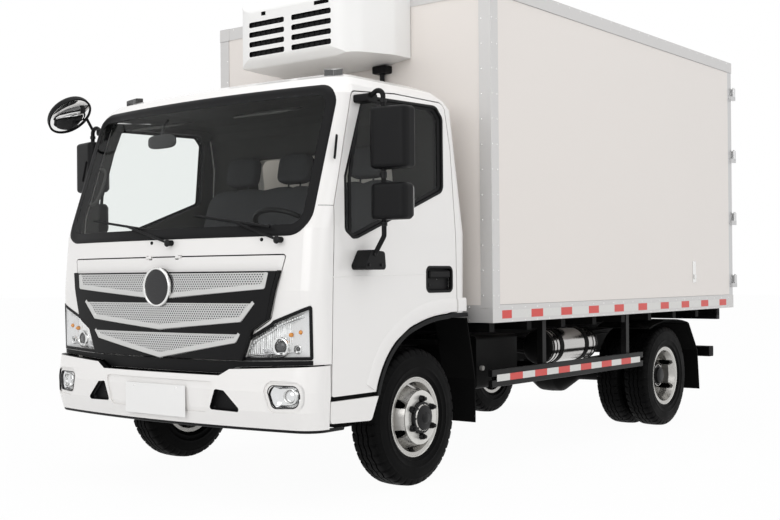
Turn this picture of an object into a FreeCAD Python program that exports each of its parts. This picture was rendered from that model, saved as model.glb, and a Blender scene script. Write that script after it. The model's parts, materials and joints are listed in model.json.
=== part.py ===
import FreeCAD, Part
import math
import os
from types import SimpleNamespace

# A refrigerated truck: tilting cab, ladder frame, insulated box and cooling unit.
# Lengths are millimetres. X is the vehicle's left, Y runs rearwards, Z is up.
# Every sub-part is drawn with Y measured from the front axle and then placed
# by FRONT_AXLE, so that the frame's origin is under the middle of the truck.

os.makedirs("parts", exist_ok=True)
doc = FreeCAD.newDocument("refrigerated_truck")
V = FreeCAD.Vector

SIZES = (
    ("wheelbase", 3360, "front axle to rear axle"),
    ("tyre_radius", 388, "unloaded tyre radius, also the height of both axles"),
    ("tyre_width", 200, "section width"),
    ("rim_radius", 222, "radius of the rim's flange"),
    ("front_wheel_x", 910, "middle of a front tyre from the centre line"),
    ("rear_outer_x", 900, "middle of an outer rear tyre"),
    ("dual_spacing", 228, "between the middles of twin tyres"),
    ("kingpin_x", 810, "steering axis from the centre line"),
    ("kingpin_r", 16, "radius of the kingpin"),
    ("boss_r", 34, "radius of the beam's end boss and of the knuckle's arms"),
    ("boss_height", 84, "height of the beam's end boss"),
    ("arm_height", 30, "height of a knuckle arm"),
    ("stub_r", 28, "radius of the stub axle"),
    ("running_gap", 0.05, "radial clearance of a turning fit"),
    ("seat_gap", 0.3, "gap between pieces that rest on each other across a joint"),
    ("shut_gap", 7, "gap round doors and lids"),
    ("frame_half", 380, "outer face of a side rail from the centre line"),
    ("frame_low", 560, "underside of the side rails"),
    ("frame_high", 760, "top of the side rails"),
    ("frame_front", -880, "front end of the side rails"),
    ("frame_short", 229, "how far the side rails end short of the box's rear face"),
    ("rail_web", 8, "thickness of a side rail"),
    ("rail_flange", 66, "flange width of a side rail"),
    ("spring_half", 560, "half length of a leaf spring"),
    ("spring_width", 66, "width of a leaf spring"),
    ("spring_thick", 44, "thickness of a spring pack at the axle"),
    ("box_front", 609, "front face of the box"),
    ("box_length", 3800, "length of the box over its faces"),
    ("box_half", 1125, "half width of the box"),
    ("box_low", 897, "underside of the box"),
    ("box_high", 2947, "top of the box"),
    ("box_wall", 80, "insulated wall thickness"),
    ("floor_thick", 106, "insulated floor thickness under the walls"),
    ("floor_raise", 6, "how far the load floor stands above the walls' feet"),
    ("trim_wide", 78, "width of the aluminium corner sections"),
    ("trim_proud", 5, "how far the corner sections stand out"),
    ("rear_door_thick", 70, "thickness of a box door"),
    ("rear_post", 62, "width of the rear frame's posts"),
    ("rear_hinge_out", 16, "rear hinge axis outside the box side and rear faces"),
    ("rear_pin_r", 8, "radius of the rear door hinge pins"),
    ("cab_half", 1030, "half width of the cab at its waist"),
    ("cab_front", -1003, "foremost line of the cab's face at the centre"),
    ("cab_bow", 85, "how far the face falls back at 930 from the centre line"),
    ("cab_low", 558, "lower edge of the cab's sides in front of the wheel"),
    ("cab_roof", 2300, "top of the roof"),
    ("cab_wall", 55, "thickness of the cab's walls and doors"),
    ("glass_thick", 8, "thickness of the windows"),
    ("glass_deep", 18, "depth of the side windows below the doors' skin"),
    ("arch_lip", 24, "depth of the dark lip round the wheel opening"),
    ("cab_back_low", 963, "lower edge of the cab's sides behind the wheel"),
    ("tilt_y", -940, "cab tilting axis ahead of the front axle"),
    ("tilt_z", 500, "height of the cab tilting axis"),
    ("tilt_pin_r", 18, "radius of the tilting pins"),
    ("lid_top", 1300, "upper edge of the front lid"),
    ("lid_half", 850, "half width of the front lid at its top"),
    ("lid_thick", 40, "thickness of the front lid"),
    ("lid_sheet", 5, "thickness of the front lid's outer sheet"),
    ("lid_step", 20, "how far the lid's inner frame stands in from its edge"),
    ("bumper_high", 668, "top of the bumper at the centre"),
    ("bumper_low", 404, "underside of the bumper"),
    ("bumper_front", -1060, "foremost line of the bumper"),
    ("bumper_wall", 40, "thickness of the bumper moulding"),
    ("door_hinge_in", 12, "cab door hinge axis inside the cab's side"),
    ("door_hinge_back", 38, "cab door hinge axis behind the door's front edge"),
    ("door_pin_r", 3.5, "radius of the cab door hinge pins"),
    ("mirror_arm_r", 13, "radius of a mirror arm's tube"),
    ("mirror_x", 1175, "mirror tube from the centre line"),
    ("front_mirror_r", 145, "radius of the round front mirror"),
    ("unit_front", 60, "front face of the cooling unit"),
    ("unit_half", 545, "half width of the cooling unit at the box"),
    ("unit_drop", 7, "how far the cooling unit ends below the box's top"),
    ("unit_tall", 432, "height of the cooling unit down to its bulged underside's lowest line"),
    ("vent_count", 4, "rows of vents in the cooling unit's face"),
    ("guard_in", 75, "outer face of a side guard inside the box's side"),
    ("guard_front", 720, "front end of a side guard"),
    ("guard_rear", 2820, "rear end of a side guard"),
    ("guard_rail", 42, "height of a side guard rail"),
    ("tank_radius", 118, "radius of the polished air tank"),
    ("tank_length", 640, "length of the polished air tank"),
    ("ear_r", 28, "radius of the tilting ears"),
    ("badge_r", 105, "radius of the plain disc in the grille"),
    ("lid_pin_r", 4, "radius of the front lid's hinge pins"),
    ("flap_thick", 8, "thickness of a mud flap"),
    ("steer_wheel_r", 215, "radius of the steering wheel"),
    ("lock_rod_r", 14, "radius of the rear doors' lock rods"),
    ("rod_out", 24, "lock rods' axes behind the box's rear face"),
)

sheet = doc.addObject("Spreadsheet::Sheet", "size")
for row, (name, value, meaning) in enumerate(SIZES, start=1):
    sheet.set(f"A{row}", meaning)
    sheet.set(f"B{row}", str(value))
    sheet.setAlias(f"B{row}", name)
doc.recompute()
size = SimpleNamespace(**{name: float(sheet.get(name)) for name, _, _ in SIZES})

# The truck's ends are the bumper and the lock rods behind the box.
FRONT_AXLE = "(-size.bumper_front - size.box_front - size.box_length - size.rod_out - size.lock_rod_r) / 2"
BOX_REAR = "size.box_front + size.box_length"
FRAME_REAR = "size.box_front + size.box_length - size.frame_short"
box_rear = size.box_front + size.box_length
frame_rear = box_rear - size.frame_short
PARTS = []


# Outlines


def rounded(points, closed=True):
    """Lines and arcs through (u, v) or (u, v, radius) corners; ("by", u, v) bends a run into an arc."""
    runs = []
    corners = [p for p in points if p[0] != "by"]
    bends = {}
    for i, p in enumerate(points):
        if p[0] == "by":
            bends[sum(1 for q in points[:i] if q[0] != "by") - 1] = V(p[1], p[2], 0)
    count = len(corners)
    starts, ends = [], []
    for i, corner in enumerate(corners):
        here = V(corner[0], corner[1], 0)
        radius = corner[2] if len(corner) > 2 else 0
        if not radius:
            starts.append(here)
            ends.append(here)
            continue
        back = V(*corners[i - 1][:2], 0) - here
        ahead = V(*corners[(i + 1) % count][:2], 0) - here
        back.normalize()
        ahead.normalize()
        half = back.getAngle(ahead) / 2
        reach = radius / math.tan(half)
        begin = here + back * reach
        finish = here + ahead * reach
        middle = back + ahead
        middle.normalize()
        centre = here + middle * (radius / math.sin(half))
        first = math.atan2(begin.y - centre.y, begin.x - centre.x)
        last = math.atan2(finish.y - centre.y, finish.x - centre.x)
        sweep = (last - first) % (2 * math.pi)
        if sweep > math.pi:
            first = last
            sweep = 2 * math.pi - sweep
        circle = Part.Circle(centre, V(0, 0, 1), radius)
        runs.append(Part.ArcOfCircle(circle, first, first + sweep))
        starts.append(begin)
        ends.append(finish)
    for i in range(count if closed else count - 1):
        a = ends[i]
        b = starts[(i + 1) % count]
        if i in bends:
            runs.append(three_point_arc(a, bends[i], b))
        elif (b - a).Length > 1e-6:
            runs.append(Part.LineSegment(a, b))
    return runs


def three_point_arc(a, middle, b):
    """The arc from a through middle to b, turned so that it runs anticlockwise."""
    arc = Part.ArcOfCircle(a, middle, b)
    centre = arc.Center
    circle = Part.Circle(centre, V(0, 0, 1), arc.Radius)
    first = math.atan2(a.y - centre.y, a.x - centre.x)
    last = math.atan2(b.y - centre.y, b.x - centre.x)
    through = math.atan2(middle.y - centre.y, middle.x - centre.x)
    if (through - first) % (2 * math.pi) > (last - first) % (2 * math.pi):
        first, last = last, first
    return Part.ArcOfCircle(circle, first, first + (last - first) % (2 * math.pi))


def rectangle(u_low, v_low, u_high, v_high, radius=0):
    """A rectangle with equal corner radii."""
    corners = ((u_low, v_low), (u_high, v_low), (u_high, v_high), (u_low, v_high))
    return rounded([(u, v, radius) for u, v in corners])


def ring(u, v, radius):
    """A circle."""
    return [Part.Circle(V(u, v, 0), V(0, 0, 1), radius)]


def frame_round(loop, reach=4000):
    """The loop with a large rectangle round it, so that a cut keeps only the inside of the loop."""
    return [rectangle(-reach, -reach, reach, reach), loop]


def mirrored(points):
    """A loop's corners on the other side of the centre line."""
    return [("by", -p[1], p[2]) if p[0] == "by" else (-p[0],) + tuple(p[1:]) for p in points]


# Bodies and features


def new_body(name):
    """An empty body whose origin is on the centre line at the front axle, at ground level."""
    body = doc.addObject("PartDesign::Body", name)
    body.Label = name
    body.AllowCompound = True
    body.setExpression("Placement.Base.y", FRONT_AXLE)
    PARTS.append(body)
    return body


def sketch_on(body, role, loops, offset="0"):
    """A sketch on one of the body's own origin planes, moved along its normal."""
    plane = [feature for feature in body.Origin.OriginFeatures if feature.Role == role][0]
    sketch = body.newObject("Sketcher::SketchObject", body.Name + "_outline")
    sketch.AttachmentSupport = [(plane, "")]
    sketch.MapMode = "FlatFace"
    sketch.setExpression("AttachmentOffset.Base.z", offset)
    for loop in loops:
        for piece in loop:
            sketch.addGeometry(piece, False)
    return sketch


def extrude(body, role, loops, low, high, cut=False):
    """Adds or cuts the loops between two heights on X (YZ), Y (XZ) or Z (XY), given as expressions."""
    if role == "XZ_Plane":
        offset = f"-({low})" if cut else f"-({high})"
    else:
        offset = high if cut else low
    sketch = sketch_on(body, role, loops, offset)
    feature = body.newObject("PartDesign::Pocket" if cut else "PartDesign::Pad", body.Name + "_run")
    feature.Profile = sketch
    feature.setExpression("Length", f"({high}) - ({low})")
    return feature


def turn(body, role, loops, offset="0", cut=False, along="H_Axis"):
    """Revolves the loops about the sketch's own axis."""
    sketch = sketch_on(body, role, loops, offset)
    kind = "PartDesign::Groove" if cut else "PartDesign::Revolution"
    feature = body.newObject(kind, body.Name + "_turned")
    feature.Profile = sketch
    feature.ReferenceAxis = (sketch, [along])
    feature.Angle = 360
    return feature


def repeat_round(body, feature, count, role="X_Axis"):
    """Repeats a feature in a circle about one of the body's own axes."""
    axis = [item for item in body.Origin.OriginFeatures if item.Role == role][0]
    pattern = body.newObject("PartDesign::PolarPattern", body.Name + "_pattern")
    pattern.Originals = [feature]
    pattern.Axis = (axis, [""])
    pattern.Angle = 360
    pattern.Occurrences = count
    body.Tip = pattern
    return pattern


def solid_feature(name, shape):
    """A sub-part whose shape is worked out here and then placed at the front axle."""
    feature = doc.addObject("Part::Feature", name)
    feature.Label = name
    feature.Shape = shape
    feature.setExpression("Placement.Base.y", FRONT_AXLE)
    PARTS.append(feature)
    return feature


def prism(role, loop, low, high, grow=0):
    """A straight solid of the loop between two heights on X, Y or Z; grow moves its outline outwards."""
    face = Part.Face(Part.Wire(Part.__sortEdges__([piece.toShape() for piece in loop])))
    if grow:
        moved = face.makeOffset2D(grow, 2)
        face = moved if moved.ShapeType == "Face" else Part.Face(moved.Wires[0])
    if role == "YZ_Plane":
        face.Placement = FreeCAD.Placement(V(low, 0, 0), FreeCAD.Rotation(V(0, 1, 0), V(0, 0, 1), V(1, 0, 0)))
        return face.extrude(V(high - low, 0, 0))
    if role == "XZ_Plane":
        face.Placement = FreeCAD.Placement(V(0, high, 0), FreeCAD.Rotation(V(1, 0, 0), V(0, 0, 1), V(0, -1, 0)))
        return face.extrude(V(0, low - high, 0))
    face.Placement = FreeCAD.Placement(V(0, 0, low), FreeCAD.Rotation())
    return face.extrude(V(0, 0, high - low))


def block(low, high):
    """A box between two opposite corners."""
    return Part.makeBox(high[0] - low[0], high[1] - low[1], high[2] - low[2], V(*low))


def other_side(shape):
    """The shape on the other side of the centre line."""
    return shape.mirror(V(0, 0, 0), V(1, 0, 0))


def bar(start, finish, radius):
    """A straight round bar between two points."""
    run = V(*finish) - V(*start)
    return Part.makeCylinder(radius, run.Length, V(*start), run)


def tube_along(points, radius, bend):
    """A round tube that follows straight runs joined by tangent arcs."""
    runs = []
    begin = V(*points[0])
    for before, here, after in zip(points, points[1:], points[2:]):
        corner = V(*here)
        back = V(*before) - corner
        ahead = V(*after) - corner
        back.normalize()
        ahead.normalize()
        half = back.getAngle(ahead) / 2
        reach = bend / math.tan(half)
        middle = back + ahead
        middle.normalize()
        deep = corner + middle * (bend / math.sin(half) - bend)
        runs.append(Part.LineSegment(begin, corner + back * reach).toShape())
        runs.append(Part.Arc(corner + back * reach, deep, corner + ahead * reach).toShape())
        begin = corner + ahead * reach
    runs.append(Part.LineSegment(begin, V(*points[-1])).toShape())
    start = V(*points[0])
    profile = Part.Wire([Part.Circle(start, V(*points[1]) - start, radius).toShape()])
    return Part.Wire(runs).makePipeShell([profile], True, False)


# The cab's hull: one list of level sections gives its outside, its inside and its glass


def cab_levels():
    """Height, foremost line, half width and rear line of the cab's outside, from the sill to the roof."""
    front = size.cab_front
    half = size.cab_half
    roof = size.cab_roof
    return (
        (size.cab_low, front + 12, half, 471),
        (1110, front, half, 476),
        (1430, front + 30, half, 482),
        (roof - 150, front + 281, half - 30, 394),
        (roof - 100, front + 312, half - 52, 362),
        (roof - 52, front + 368, half - 98, 305),
        (roof - 18, front + 470, half - 180, 200),
        (roof, front + 650, half - 330, 20),
    )


def front_at(height):
    """The cab's foremost line at a height, between the two levels round it."""
    levels = cab_levels()
    for (z_low, y_low, *_), (z_high, y_high, *_) in zip(levels, levels[1:]):
        if z_low <= height <= z_high:
            return y_low + (y_high - y_low) * (height - z_low) / (z_high - z_low)
    raise ValueError("no level at this height")


def level_section(height, front, half, rear, corner):
    """A level outline of the cab: bowed face, round front corners, straight sides and rounded rear."""
    share = size.cab_bow / 930 ** 2
    bend = math.atan(2 * share * (half - corner))
    reach = corner * math.tan((math.pi / 2 - bend) / 2)
    x_end = half - reach * math.cos(bend)
    y_end = front + share * x_end ** 2
    slope = 2 * share * x_end
    y_side = y_end + slope * (half - x_end) + reach
    centre = V(half - corner, y_side, height)
    lean = (math.pi / 2 - bend) / 2
    y_mid = centre.y - corner * math.sin(lean)
    x_mid = centre.x + corner * math.cos(lean)
    back = 60
    diagonal = back * (1 - math.sqrt(0.5))
    edges = [
        Part.Arc(V(-x_end, y_end, height), V(0, front, height), V(x_end, y_end, height)),
        Part.Arc(V(x_end, y_end, height), V(x_mid, y_mid, height), V(half, y_side, height)),
        Part.LineSegment(V(half, y_side, height), V(half, rear - back, height)),
        Part.Arc(V(half, rear - back, height), V(half - diagonal, rear - diagonal, height),
                 V(half - back, rear, height)),
        Part.LineSegment(V(half - back, rear, height), V(back - half, rear, height)),
        Part.Arc(V(back - half, rear, height), V(diagonal - half, rear - diagonal, height),
                 V(-half, rear - back, height)),
        Part.LineSegment(V(-half, rear - back, height), V(-half, y_side, height)),
        Part.Arc(V(-half, y_side, height), V(-x_mid, y_mid, height), V(-x_end, y_end, height)),
    ]
    return Part.Wire([edge.toShape() for edge in edges])


def cab_hull(inset):
    """The solid inside the cab's outside at a given depth below it."""
    levels = cab_levels()
    wires = []
    for number, (height, front, half, rear) in enumerate(levels):
        if number == 0:
            height -= 40 if inset else 0
        share = max(0, height - 1430) / (size.cab_roof - 1430)
        wires.append(level_section(height - inset * share ** 2, front + inset * 1.05, half - inset,
                                   rear - inset, max(110 - inset, 40)))
    return Part.makeLoft(wires, True, True)


hull = cab_hull(0)
outer_skin = hull.cut(cab_hull(size.cab_wall))

# Outlines on the cab's side, in Y and Z, and on its face, in X and Z
PAST = size.cab_half + 270
SIDE_REACH = (size.cab_half - 130, PAST)
FACE_REACH = (size.cab_front - 297, size.cab_front + 303)
SCREEN_REACH = (size.cab_front - 397, size.cab_front + 703)
REAR_WALL_REACH = (250, 700)
DOOR = rounded([
    (-786, size.cab_low, 20), (373, size.cab_low, 20), (376, 1027), (370, 1331), (346, 1915), (298, 2190, 40),
    (-160, 2193), (-560, 2162, 40), (-750, 1548), (-768, 1112),
])
WINDOW = rounded([
    (-652, 1428, 20), (-596, 1392, 20), (-560, 1395, 30), (238, 1676, 45), (262, 2090, 30), (205, 2148, 45),
    (-462, 2132, 60), (-640, 1700),
])
WHEEL_OPENING = rounded([
    (-409, 200), (-409, 546), ("by", -272, 780), (-37, 907), ("by", 109, 941), (262, 955),
    (310, size.cab_back_low), (700, size.cab_back_low), (700, 200),
])
SCREEN = rounded([
    (size.cab_half - 84, 1424, 95), (size.cab_half - 100, 2168, 90),
    (100 - size.cab_half, 2168, 90), (84 - size.cab_half, 1424, 95),
])
REAR_WINDOW = rectangle(-560, 1480, 560, 1960, 60)
lid_corners = [(size.lid_half, size.lid_top, 18), (size.lid_half - 20, 1222, 20), (765, 962, 40), (662, 899),
               (596, 740, 20)]
LID = rounded(lid_corners + mirrored(lid_corners)[::-1])
# The bumper's upper edge, also the lower edge of the cab's face
bumper_top = [(PAST, 740), (PAST - 100, 736), (530, 703), (465, size.bumper_high)]
FACE_BELOW = rounded(bumper_top + mirrored(bumper_top)[::-1] + [(-PAST, 300), (PAST, 300)])
LAMP = rounded([(640, 880), (760, 940), (776, 958), (1060, 1062), (1060, 762), (560, 742), (560, 800)])
LAMP_REACH = (FACE_REACH[0], size.cab_front + 113)


# The cab door's hinge line leans back as its front edge does below the waist
WAIST = 1112
DOOR_LEAN = 18 / 554
HINGE_Y = -768 + size.shut_gap + size.door_hinge_back


def door_hinges():
    """The left door's hinges: brackets with pins on the shell, eyes on the door, and the room cut for each."""
    parts = {"brackets": [], "eyes": [], "bores": [], "rooms": []}
    inner = size.cab_half - size.cab_wall
    x = size.cab_half - size.door_hinge_in
    eye_r = size.door_pin_r + 3.5
    for z in (790, 1250):
        y = HINGE_Y + DOOR_LEAN * (z - WAIST)

        def run(low, high, radius):
            return bar((x, y + DOOR_LEAN * low, z + low), (x, y + DOOR_LEAN * high, z + high), radius)
        parts["brackets"] += [run(0, 12, eye_r), run(0, 40, size.door_pin_r),
                              block((inner - 17, y - 5, z), (x, y + 7, z + 12)),
                              block((inner - 17, -812, z), (inner - 5, y + 7, z + 12)),
                              block((inner - 17, -812, z), (inner + 3, -782, z + 12))]
        parts["eyes"] += [run(12.3, 40, eye_r),
                          block((x - eye_r, y + 2, z + 12.3), (x + eye_r, y + 20, z + 40))]
        parts["bores"].append(run(5, 45, size.door_pin_r + size.running_gap))
        parts["rooms"].append(block((inner - 10, -800, z - 8), (x + eye_r + 1, y + 16, z + 48)))
    return parts


def cab_doors():
    """The cab doors with window opening, handle recess and hinge eyes, and the window in each."""
    window = prism("YZ_Plane", WINDOW, *SIDE_REACH)
    hinge = door_hinges()
    recess = prism("YZ_Plane", rectangle(72, 1096, 318, 1226, 24), size.cab_half - 22, size.cab_half + 20)
    door = outer_skin.common(prism("YZ_Plane", DOOR, SIDE_REACH[0] + size.shut_gap, PAST, -size.shut_gap))
    wheel_room = prism("YZ_Plane", WHEEL_OPENING, *SIDE_REACH, size.shut_gap)
    door = door.cut([wheel_room, window, recess] + hinge["rooms"])
    door = door.fuse(hinge["eyes"]).cut(hinge["bores"])
    door = max(door.Solids, key=lambda solid: solid.Volume)
    outer = size.cab_half - size.glass_deep
    lean = 30 / (size.cab_roof - 150 - 1430)
    pane = [(outer, 1380), (outer, 1430), (outer - lean * 730, 2160)]
    section = pane + [(x - size.glass_thick, z) for x, z in reversed(pane)]
    glass = prism("XZ_Plane", rounded(section), -720, 320).common(window).Solids[0]
    solid_feature("door_left", door)
    solid_feature("door_glass_left", glass)
    solid_feature("door_right", other_side(door))
    solid_feature("door_glass_right", other_side(glass))


def lid_knuckles():
    """The lid's hinge at the top of its face: shell lugs with pins, lid eyes, and the room cut for each."""
    z = size.lid_top - size.shut_gap
    y = front_at(z) + 2
    eye_r = size.lid_pin_r + 3.5
    parts = {"lugs": [], "eyes": [], "bores": [], "lug_room": [], "eye_room": []}
    for side in (1, -1):
        def run(near, far, radius):
            return bar((side * near, y, z), (side * far, y, z), radius)
        parts["lugs"] += [run(98, 119.7, eye_r), run(98, 139, size.lid_pin_r),
                          block((min(side * 98, side * 119.7), y - eye_r + 2, z + 2),
                                (max(side * 98, side * 119.7), y + 16, z + size.shut_gap + 4))]
        parts["eyes"].append(run(120, 140, eye_r))
        parts["bores"].append(run(110, 150, size.lid_pin_r + size.running_gap))
        parts["lug_room"].append(run(93, 120, eye_r + 5))
        parts["eye_room"].append(run(119.7, 145, eye_r + 3))
    return parts


def cab_shell():
    """Roof, pillars, face and rear wall of the cab with every opening cut through."""
    shell = outer_skin.cut(prism("YZ_Plane", WHEEL_OPENING, -SIDE_REACH[1], SIDE_REACH[1], size.seat_gap))
    side_cut = prism("YZ_Plane", DOOR, *SIDE_REACH)
    shell = shell.cut([side_cut, other_side(side_cut), prism("XZ_Plane", SCREEN, *SCREEN_REACH),
                       prism("XZ_Plane", REAR_WINDOW, *REAR_WALL_REACH)])
    below = prism("XZ_Plane", FACE_BELOW, FACE_REACH[0], FACE_REACH[1] - 70, size.shut_gap)
    lid_bed = prism("XZ_Plane", LID, *FACE_REACH).common(hull.cut(cab_hull(size.lid_thick + size.shut_gap)))
    lamp_bed = prism("XZ_Plane", LAMP, *LAMP_REACH)
    shell = shell.cut([below, lid_bed, lamp_bed, other_side(lamp_bed)])
    hinge = lid_knuckles()
    brackets = door_hinges()["brackets"]
    brackets += [other_side(shape) for shape in brackets]
    shell = shell.cut(hinge["eye_room"]).fuse(hinge["lugs"] + brackets)
    solid_feature("cab_shell", max(shell.Solids, key=lambda solid: solid.Volume))


def cab_glass():
    """Windscreen, flush with the cab's face, and rear window."""
    screen = hull.cut(cab_hull(size.glass_thick)).common(prism("XZ_Plane", SCREEN, *SCREEN_REACH))
    pane = cab_hull(20).cut(cab_hull(20 + size.glass_thick))
    rear = pane.common(prism("XZ_Plane", REAR_WINDOW, *REAR_WALL_REACH))
    solid_feature("cab_glass", Part.makeCompound([screen.Solids[0], rear.Solids[0]]))


def front_lid():
    """The lid in the cab's face that carries the grille: an outer sheet and a frame that stands in from its
    edge, so that its corners clear the shell as it swings up."""
    sheet = hull.cut(cab_hull(size.lid_sheet)).common(prism("XZ_Plane", LID, *FACE_REACH, -size.shut_gap))
    edge = -size.shut_gap - size.lid_step
    inner = hull.cut(cab_hull(size.lid_thick)).common(prism("XZ_Plane", LID, *FACE_REACH, edge))
    lid = sheet.fuse(inner)
    hinge = lid_knuckles()
    lid = lid.cut(hinge["lug_room"]).fuse(hinge["eyes"]).cut(hinge["bores"])
    solid_feature("front_lid", max(lid.Solids, key=lambda solid: solid.Volume))


cab_doors()
cab_shell()
cab_glass()
front_lid()


def bumper_levels():
    """Height and foremost line of the bumper's bulged section."""
    front = size.bumper_front
    return ((size.bumper_low, front + 34), (size.bumper_low + 90, front + 4), (size.bumper_low + 190, front),
            (size.bumper_high + 70, front + 22))


def bumper_loft(inset):
    """The solid inside the bumper's outside at a given depth, run past its ends if it has one."""
    levels = bumper_levels()
    wires = []
    for number, (z, y) in enumerate(levels):
        past = {0: -20, len(levels) - 1: 20}.get(number, 0) if inset else 0
        wires.append(level_section(z + past, y + inset, size.cab_half - inset, 400, 130 - inset))
    return Part.makeLoft(wires, True, True)


def cab_floor():
    """Engine cover with the tilting ears, a wheel housing on each side and a floor with its sill before it."""
    low = 640
    plate = 30
    reach = size.cab_half - size.cab_wall - 20
    room_half = size.frame_half + 12
    cover_half = room_half + 28
    gap = size.seat_gap
    front = -990
    step = -520
    cover = rounded([(-640, low), (-640, 1000, 60), (step, 1130, 60), (440, 1130), (440, 972), (385, 972),
                     (385, low)])
    room = rounded([(-612, low - 20), (-612, 990, 40), (-508, 1102, 40), (460, 1102), (460, low - 20)])
    middle = prism("YZ_Plane", cover, -cover_half, cover_half)
    middle = middle.fuse([block((-cover_half, front, 780), (cover_half, -620, 780 + plate)),
                          block((room_half, front, low), (cover_half, -620, 780 + plate)),
                          block((-cover_half, front, low), (-room_half, -620, 780 + plate))])
    middle = middle.cut([prism("YZ_Plane", room, -room_half, room_half),
                         block((-room_half, front - 10, low - 20), (room_half, -600, 780))])
    eye_y = size.tilt_y
    eye_z = size.tilt_z
    r = size.ear_r
    ear = rounded([(eye_y - r, eye_z - r, r - 2), (eye_y + r, eye_z - r, r - 2), (eye_y + 70, low),
                   (eye_y + 70, 790), (eye_y + 28, 790), (eye_y + 28, low), (eye_y - r, eye_z + r)])
    hole = bar((-400, eye_y, eye_z), (400, eye_y, eye_z), size.tilt_pin_r + size.running_gap)
    inside = cab_hull(size.cab_wall + gap)
    ears = [prism("YZ_Plane", ear, *sorted((side * 250, side * 290))).cut(hole) for side in (1, -1)]
    solids = [middle.common(inside).fuse(ears).removeSplitter().Solids[0]]
    housing = rounded([
        (step, low), (-490, low), (-480, 760), ("by", -300, 905), (0, 972), (440, 972), (440, 1002), (-10, 1002),
        ("by", -318, 930), (-510, 770), (step, low + plate),
    ])
    wheel_house = prism("YZ_Plane", housing, cover_half + gap, reach).common(inside)
    sill_out = 1016
    sill_in = 925
    sill_ends = (-778, -412)
    sill_low = size.cab_low - 16.7
    bumper_room = bumper_loft(size.bumper_wall + gap)
    floor = block((cover_half + gap, front, low), (reach, step - gap, low + plate)).common(inside)
    floor = floor.fuse([
        block((sill_in, sill_ends[0], sill_low), (reach, sill_ends[1], low - gap)),
        block((sill_in, sill_ends[0], sill_low), (reach, step - gap, low + 10)),
        block((sill_in + 5, sill_ends[0], sill_low), (sill_out, sill_ends[1], size.cab_low - 1)),
        block((560, -1100, low), (640, -900, low + plate)).common(bumper_room),
    ]).removeSplitter()
    for shape in (wheel_house, floor):
        left = max(shape.Solids, key=lambda solid: solid.Volume)
        solids += [left, other_side(left)]
    solid_feature("cab_floor", Part.makeCompound(solids))


cab_floor()


# Chassis


def ladder_frame():
    """Side rails, cross members between their webs, spring hangers, tilting ears and the cab's rear rest."""
    body = new_body("ladder_frame")
    outer = size.frame_half
    inner = outer - size.rail_web
    lip = outer - size.rail_flange
    low = size.frame_low
    high = size.frame_high
    web = size.rail_web
    gap = size.seat_gap
    channel = [(outer, low), (outer, high), (lip, high), (lip, high - web), (inner, high - web),
               (inner, low + web), (lip, low + web), (lip, low)]
    extrude(body, "XZ_Plane", [rounded(channel), rounded(mirrored(channel))], "size.frame_front", FRAME_REAR)
    places = (-826, 1080, 1650, 2300, 2850, 3860, frame_rear - 40)
    members = [rectangle(y - 38, low + 30, y + 38, high - 30) for y in places]
    extrude(body, "YZ_Plane", members, "size.rail_web + size.seat_gap - size.frame_half",
            "size.frame_half - size.rail_web - size.seat_gap")
    hangers = []
    for axle, seat in ((0, front_spring_seat), (size.wheelbase, rear_spring_seat)):
        for end in (-1, 1):
            y = axle + end * (size.spring_half - 34)
            hangers.append(rectangle(y - 30, seat + spring_rise + 22, y + 30, low - gap))
    for near, far in (("size.frame_half - size.spring_width", "size.frame_half"),
                      ("-size.frame_half", "size.spring_width - size.frame_half")):
        extrude(body, "YZ_Plane", hangers, near, far)
    r = size.ear_r
    end = size.frame_front - gap
    ear = [(size.tilt_y - r, size.tilt_z - r, r - 2), (size.tilt_y + r, size.tilt_z - r, r - 2),
           (end, low), (end, low + 120), (end - 30, low + 120), (size.tilt_y - r, size.tilt_z + r)]
    for near, far in (("296", "size.frame_half"), ("-size.frame_half", "-296")):
        extrude(body, "YZ_Plane", [rounded(ear)], near, far)
    pin = ring(size.tilt_y, size.tilt_z, size.tilt_pin_r)
    for near, far in (("235", "300"), ("-300", "-235")):
        extrude(body, "YZ_Plane", [pin], near, far)
    beam_low = size.cab_back_low - 40
    rest = rectangle(404, high + gap, 464, beam_low - gap)
    extrude(body, "YZ_Plane", [rest], "size.frame_half - 60", "size.frame_half")
    extrude(body, "YZ_Plane", [rest], "-size.frame_half", "60 - size.frame_half")
    beam = rectangle(404, beam_low, 464, size.cab_back_low)
    extrude(body, "YZ_Plane", [beam], "-size.frame_half - 120", "size.frame_half + 120")


front_spring_seat = size.tyre_radius - 22
rear_spring_seat = size.tyre_radius + 78
spring_rise = 46
ladder_frame()


def leaf_springs():
    """Four packs of leaves, curved upwards to their ends."""
    body = new_body("leaf_springs")
    packs = []
    for axle, seat in ((0, front_spring_seat), (size.wheelbase, rear_spring_seat)):
        half = size.spring_half
        packs.append(rounded([
            (axle - half, seat + spring_rise), ("by", axle, seat), (axle + half, seat + spring_rise),
            (axle + half, seat + spring_rise + 21.7), ("by", axle, seat + size.spring_thick),
            (axle - half, seat + spring_rise + 21.7),
        ]))
    extrude(body, "YZ_Plane", packs, "size.frame_half - size.spring_width", "size.frame_half")
    extrude(body, "YZ_Plane", packs, "-size.frame_half", "size.spring_width - size.frame_half")


leaf_springs()


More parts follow.
